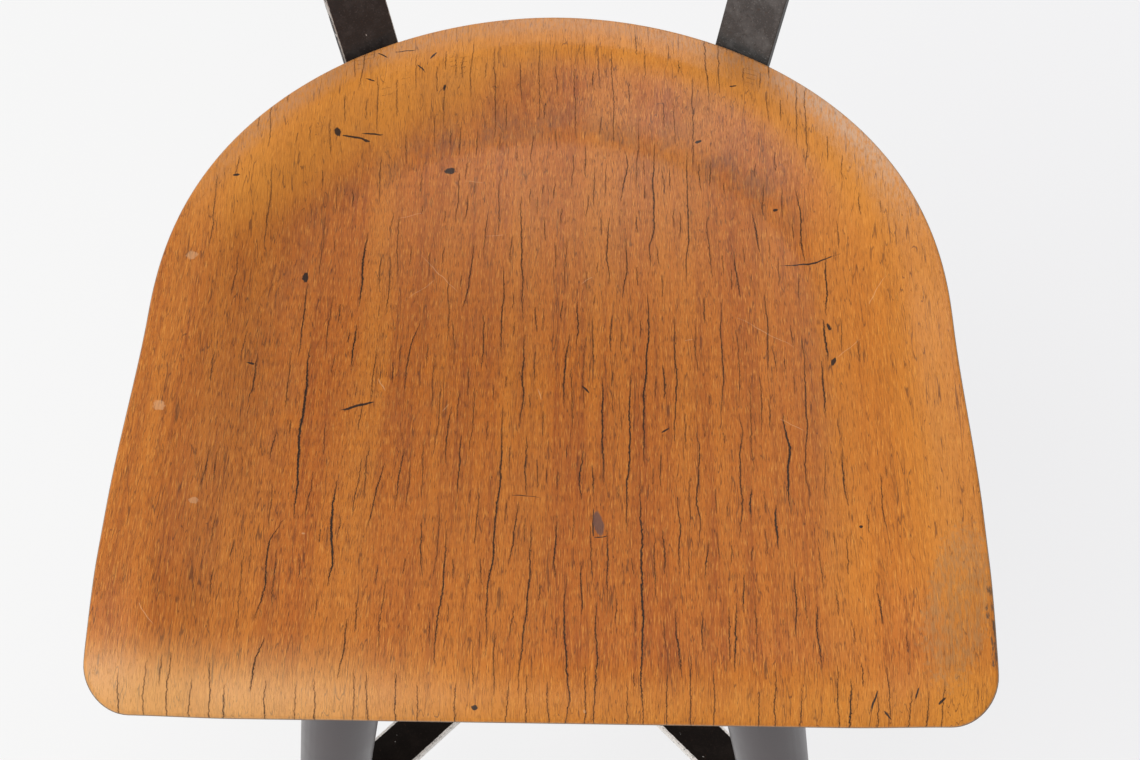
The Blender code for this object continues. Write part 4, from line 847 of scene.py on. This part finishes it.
def leg_paint():
    """Satin warm-grey enamel on the tubes, scuffed, and rubbed dark low down."""
    look = Finish("leg_enamel", Specular_IOR_Level=0.24, Coat_Weight=0.15, Coat_Roughness=0.20)
    clouds = look.noise((45, 45, 80), 4.0, 0.6)
    colour = look.blend(look.span(clouds, 0.35, 0.68), (0.048, 0.038, 0.0405), (0.064, 0.051, 0.054))
    specks = look.noise((2, 2, 3.2), 3.0, 0.6, shift=(5, 5, 2))
    colour = look.blend(look.span(specks, 0.70, 0.76, 0.0, 0.8), colour, (0.045, 0.036, 0.032))
    scuffs = look.noise((9, 9, 3), 5.0, 0.72, shift=(8, 3, 4))
    height = look.axes()[2]
    low_down = look.span(height, 0.16, 0.02, 0.0, 0.6)
    rubbed = look.times(look.span(scuffs, 0.50, 0.64), low_down)
    colour = look.blend(rubbed, colour, (0.055, 0.046, 0.042))
    chips = look.noise(6.5, 5.0, 0.66, shift=(1, 6, 9))
    chip = look.span(chips, 0.70, 0.72)
    colour = look.blend(chip, colour, (0.30, 0.27, 0.25))
    look.bump(look.noise(1.8, 3.0, 0.6), 0.035)
    look.bump(look.times(chip, -1.0), 0.08)
    return look.finish(colour, look.span(clouds, 0.3, 0.7, 0.30, 0.42))


def plain_metal(name, base, dark, gloss, size):
    """Worn plain metal: fine scratches, stains and tarnish."""
    look = Finish(name, Metallic=1.0)
    stains = look.noise(size, 5.0, 0.65)
    fine = look.noise((0.6, 0.6, 4), 3.0, 0.6, shift=(4, 2, 1))
    colour = look.blend(look.span(stains, 0.42, 0.70, 0.0, 0.85), base, dark)
    colour = look.blend(look.span(fine, 0.55, 0.75, 0.0, 0.35), colour, dark)
    look.bump(fine, 0.02)
    return look.finish(colour, look.span(stains, 0.3, 0.7, gloss, gloss + 0.22))


def moulded(name, base, pale, gloss, grit):
    """Rubber or bakelite: a fine skin, dusty or polished in patches."""
    look = Finish(name, Specular_IOR_Level=0.45)
    patches = look.noise(12, 5.0, 0.68)
    skin = look.noise(grit, shift=(3, 3, 3))
    colour = look.blend(look.span(patches, 0.42, 0.72, 0.0, 0.7), base, pale)
    look.bump(skin, 0.05)
    return look.finish(colour, look.span(patches, 0.3, 0.7, gloss, gloss + 0.2))


def raw_ply():
    """Unvarnished block under the seat: pale face grain and layered edge."""
    look = Finish("raw_beech_ply", Specular_IOR_Level=0.3)
    streaks = look.noise((3, 70, 30), 4.0, 0.6)
    pores = look.noise((0.6, 3, 3), 1.0, 0.5, warp=0.3)
    colour = look.blend(look.span(streaks, 0.35, 0.65), (0.36, 0.205, 0.098), (0.50, 0.31, 0.155))
    colour = look.blend(look.span(pores, 0.60, 0.68, 0.0, 0.6), colour, (0.14, 0.068, 0.030))
    layers = look.calc("SINE", look.times(look.axes()[2], math.tau / 0.0022))
    around = look.vector("LENGTH", look.moved((1.0, 1.0, 0.0), shift=TO_SPINDLE))
    rim = look.span(around, 0.1185, 0.1195)
    edge = look.blend(look.span(layers, -0.3, 0.3), (0.20, 0.105, 0.048), (0.44, 0.27, 0.13))
    colour = look.blend(rim, colour, edge)
    look.bump(streaks, 0.12)
    return look.finish(colour, 0.72)


# ---- screw spindle
THREAD_PITCH = 0.006
THREAD_CREST = 0.0138
THREAD_ROOT = 0.0112
THREAD_LOW = 0.300
THREAD_HIGH = 0.538
THREAD_FADE = 0.004  # over which the ridges run out at each end
KEYWAY_FLOOR = 0.0112
KEYWAY_HALF = 0.0028


def thread_radius(height, angle):
    """Radius of the screw at a height and an angle: flat crest, sloping flanks, flat root."""
    turn = (height / THREAD_PITCH - angle / math.tau) % 1.0
    flank = abs(turn - 0.5) * 2.0
    share = min(max((flank - 0.34) / 0.26, 0.0), 1.0)
    fade_in = min(max((height - THREAD_LOW) / THREAD_FADE, 0.0), 1.0)
    fade = fade_in * min(max((THREAD_HIGH - height) / THREAD_FADE, 0.0), 1.0)
    return THREAD_CREST - (THREAD_CREST - THREAD_ROOT) * share * fade


def make_screw_spindle():
    """The spindle with its thread, keyway, plain foot and journal."""
    columns = 60
    profile = [(spindle_low.z, 0.0), (spindle_low.z, 0.0122), (spindle_low.z + 0.0015, THREAD_CREST)]
    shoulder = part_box("lower_race")[0].z - 0.0003
    heights = np.arange(THREAD_LOW - 0.002, THREAD_HIGH + 0.002, THREAD_PITCH / 12)
    profile += [(height, None) for height in heights]
    profile += [(shoulder - 0.0008, THREAD_CREST), (shoulder, THREAD_CREST - 0.0008), (shoulder, 0.0100)]
    profile += [(spindle_high.z - 0.001, 0.0100), (spindle_high.z, 0.0090), (spindle_high.z, 0.0)]
    key_angle = math.asin(KEYWAY_HALF / THREAD_CREST)
    angles = [-key_angle, -key_angle + 0.004, -key_angle / 3, key_angle / 3, key_angle - 0.004, key_angle]
    rest = columns - len(angles)
    angles += [key_angle + (math.tau - 2 * key_angle) * (step + 1) / (rest + 1) for step in range(rest)]
    points, rows, faces = [], [], []
    for height, radius in profile:
        if radius == 0.0:
            rows.append([len(points)])
            points.append((0.0, AXIS_Y, height))
            continue
        row = []
        for index, angle in enumerate(angles):
            reach = thread_radius(height, angle) if radius is None else radius
            if 0 < index < 5 and height < THREAD_HIGH + 0.001:
                reach = min(reach, KEYWAY_FLOOR / math.cos(angle))
            row.append(len(points))
            points.append((reach * math.cos(angle), AXIS_Y + reach * math.sin(angle), height))
        rows.append(row)
    for lower, upper in zip(rows, rows[1:]):
        for step in range(columns):
            after = step + 1
            corners = [lower[step % len(lower)], lower[after % len(lower)]]
            corners += [upper[after % len(upper)], upper[step % len(upper)]]
            faces.append(list(dict.fromkeys(corners)))
    piece = new_piece("screw_spindle", points, faces)
    piece.data.shade_smooth()
    piece.data.set_sharp_from_angle(angle=math.radians(32.0))
    return piece


# ---- the pieces
def dress(piece, material):
    """Give an object one material in every slot."""
    if not piece.material_slots:
        piece.data.materials.append(material)
    for slot in piece.material_slots:
        slot.material = material


def soften(piece, width):
    """Round a CAD node's sharp edges a little."""
    bevel = piece.modifiers.new("soft_edges", "BEVEL")
    bevel.width = width
    bevel.segments = 2
    bevel.limit_method = "ANGLE"
    bevel.angle_limit = math.radians(38.0)
    bevel.use_clamp_overlap = True
    bevel.harden_normals = True


def round_shading():
    """Modifier nodes that join the loose facets, shade gentle bends smooth and keep real edges sharp."""
    group = bpy.data.node_groups.new("round_shading", "GeometryNodeTree")
    for side in ("INPUT", "OUTPUT"):
        group.interface.new_socket("Geometry", in_out=side, socket_type="NodeSocketGeometry")
    source = group.nodes.new("NodeGroupInput")
    joined = group.nodes.new("GeometryNodeMergeByDistance")
    joined.inputs["Distance"].default_value = 0.01 * MM
    plain = group.nodes.new("GeometryNodeRemoveAttribute")
    plain.inputs["Name"].default_value = "custom_normal"
    angle = group.nodes.new("GeometryNodeInputMeshEdgeAngle")
    gentle = group.nodes.new("FunctionNodeCompare")
    gentle.operation = "LESS_THAN"
    gentle.inputs["B"].default_value = math.radians(30.0)
    edges = group.nodes.new("GeometryNodeSetShadeSmooth")
    edges.domain = "EDGE"
    faces = group.nodes.new("GeometryNodeSetShadeSmooth")
    result = group.nodes.new("NodeGroupOutput")
    steps = [source, joined, plain, edges, faces, result]
    for before, after in zip(steps, steps[1:]):
        group.links.new(before.outputs["Geometry"], after.inputs["Geometry"])
    group.links.new(angle.outputs["Unsigned Angle"], gentle.inputs["A"])
    group.links.new(gentle.outputs["Result"], edges.inputs["Shade Smooth"])
    return group


def build_seat():
    """The fine seat panel with its cracks and wear."""
    half_size = (SEAT_HALF_WIDTH, (SEAT_FRONT + SEAT_BACK) / 2)
    seat = make_sheet("fine_seat", seat_rows(), seat_half_width, half_size, seat_surface,
                      PLY_THICKNESS, SEAT_COLUMNS, EDGE_ROUNDING)
    x, y = (kept_numbers(seat.data, label).astype(float) for label in ("flat_x", "flat_y"))
    ply = kept_numbers(seat.data, "ply")
    fields = crack_fields(x / MM, y / MM)
    for number in range(CRACK_SETS):
        fields[f"crack_width_{number}"][ply > 0.5] = -1.0
    fields.update(wear_fields(x, y))
    keep_numbers(seat.data, fields)
    seat.data.materials.append(seat_wood())
    seat.data.materials.append(plain_wood("seat_underside", 0.55))
    under = np.zeros(len(seat.data.polygons), np.int32)
    corners = np.array([polygon.vertices[0] for polygon in seat.data.polygons])
    under[ply[corners] > 0.97] = 1
    seat.data.polygons.foreach_set("material_index", under)
    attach(seat, "seat")
    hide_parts("seat_panel")


def backrest_width(v):
    """Half the backrest's arc length at a height from its middle."""
    into = np.clip(np.abs(v) - (BACKREST_HALF_HEIGHT - BACKREST_CORNER), 0.0, BACKREST_CORNER)
    return BACKREST_HALF_ARC - BACKREST_CORNER + np.sqrt(BACKREST_CORNER ** 2 - into ** 2)


def backrest_surface(u, v, depth):
    """Points at a depth behind the backrest's concave face."""
    radius = BACKREST_OUTER - BACKREST_THICKNESS + depth
    angle = math.pi / 2 - u / BACKREST_OUTER
    return np.stack([radius * np.cos(angle), AXIS_Y + radius * np.sin(angle), BACKREST_CENTRE + v], -1)


def build_backrest():
    """The fine backrest panel."""
    turn = np.radians(np.linspace(90.0, 0.0, 12))
    reach = BACKREST_HALF_HEIGHT - BACKREST_CORNER
    low = -reach - BACKREST_CORNER * np.sin(turn)
    rows = np.concatenate([low, np.linspace(-reach, reach, 12)[1:-1], -low[::-1]])
    half_size = (BACKREST_HALF_ARC, BACKREST_HALF_HEIGHT)
    panel = make_sheet("fine_backrest", rows, backrest_width, half_size, backrest_surface,
                       BACKREST_THICKNESS, BACKREST_COLUMNS, EDGE_ROUNDING)
    panel.data.materials.append(plain_wood("backrest_beech", 0.30, upright=True))
    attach(panel, "backrest")
    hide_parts("backrest_panel")


def dress_cad_nodes():
    """Materials and softened edges for the CAD nodes that stay in view."""
    black = (0.0215, 0.0175, 0.0168)
    pale_edge = (0.46, 0.43, 0.40)
    steel = plain_metal("machined_steel", (0.46, 0.45, 0.43), (0.16, 0.12, 0.09), 0.26, 9.0)
    zinc = plain_metal("dull_zinc", (0.50, 0.49, 0.46), (0.20, 0.17, 0.14), 0.30, 3.5)
    brass = plain_metal("aged_brass", (0.60, 0.42, 0.17), (0.24, 0.145, 0.055), 0.26, 8.0)
    bakelite = moulded("brown_black_bakelite", (0.014, 0.0105, 0.0090), (0.040, 0.031, 0.026), 0.22, 1.2)
    rubber = moulded("foot_rubber", (0.020, 0.019, 0.019), (0.060, 0.055, 0.051), 0.62, 0.7)
    castings = cast_paint("cast_enamel", (0.016, 0.014, 0.0135), 0.36)
    by_word = {
        "leg_screw": (zinc, 0.0003), "tab_bolt": (zinc, 0.0003), "carrier_bolt": (zinc, 0.0003),
        "seat_screw": (zinc, 0.0), "collar_screw": (zinc, 0.0), "retaining_nut": (zinc, 0.0004),
        "carriage_bolt": (zinc, 0.0002), "clamp_washer": (zinc, 0.0002), "wing_nut": (zinc, 0.0006),
        "leg_": (leg_paint(), 0.0005), "foot_": (rubber, 0.0008), "top_spider": (castings, 0.0010),
        "seat_socket": (castings, 0.0008), "cross_rivet": (castings, 0.0), "handwheel": (bakelite, 0.0012),
        "nut_insert": (brass, 0.0004), "thrust_washer": (brass, 0.0002), "stop_collar": (steel, 0.0005),
        "spindle_key": (steel, 0.0003), "lower_race": (steel, 0.0003), "upper_race": (steel, 0.0003),
        "ball_cage": (steel, 0.0), "seat_doubler": (raw_ply(), 0.0006),
    }
    stretcher = ((0.0042, 0.0021, 0.0012), (0.86, 0.83, 0.79), 13.7, 1.1, 0.50, 0.28, 0.12)
    arm = (black, pale_edge, 15.9, 1.0, 0.36, 0.60, 0.4)
    bars = {
        "back_rail_left": (black, pale_edge, 15.80, 1.1, 0.34, 0.50, 0.4),
        # painted reflection: the right rail's enamel gets a lighter grey than the left rail's black
        "back_rail_right": ((0.055, 0.053, 0.052), (0.060, 0.054, 0.050), 15.95, 1.0, 0.20, 0.70, 0.4),
        "front_arm_left": arm, "front_arm_right": arm,
        "cross_bar_a": stretcher, "cross_bar_b": stretcher,
    }
    smoothing = round_shading()
    for name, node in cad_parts.items():
        node.modifiers.new("round_shading", "NODES").node_group = smoothing
        if name in bars:
            dress(node, bar_paint(name + "_enamel", RAIL_HEADINGS[name], *bars[name]))
            soften(node, 0.0007)
            continue
        for word, (material, width) in by_word.items():
            if name.startswith(word):
                dress(node, material)
                if width:
                    soften(node, width)
                break


build_seat()
build_backrest()
screw = make_screw_spindle()
screw_steel = plain_metal("threaded_steel", (0.40, 0.385, 0.36), (0.090, 0.065, 0.045), 0.28, 12.0)
screw.data.materials.append(screw_steel)
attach(screw, "spindle")
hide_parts("spindle")
dress_cad_nodes()
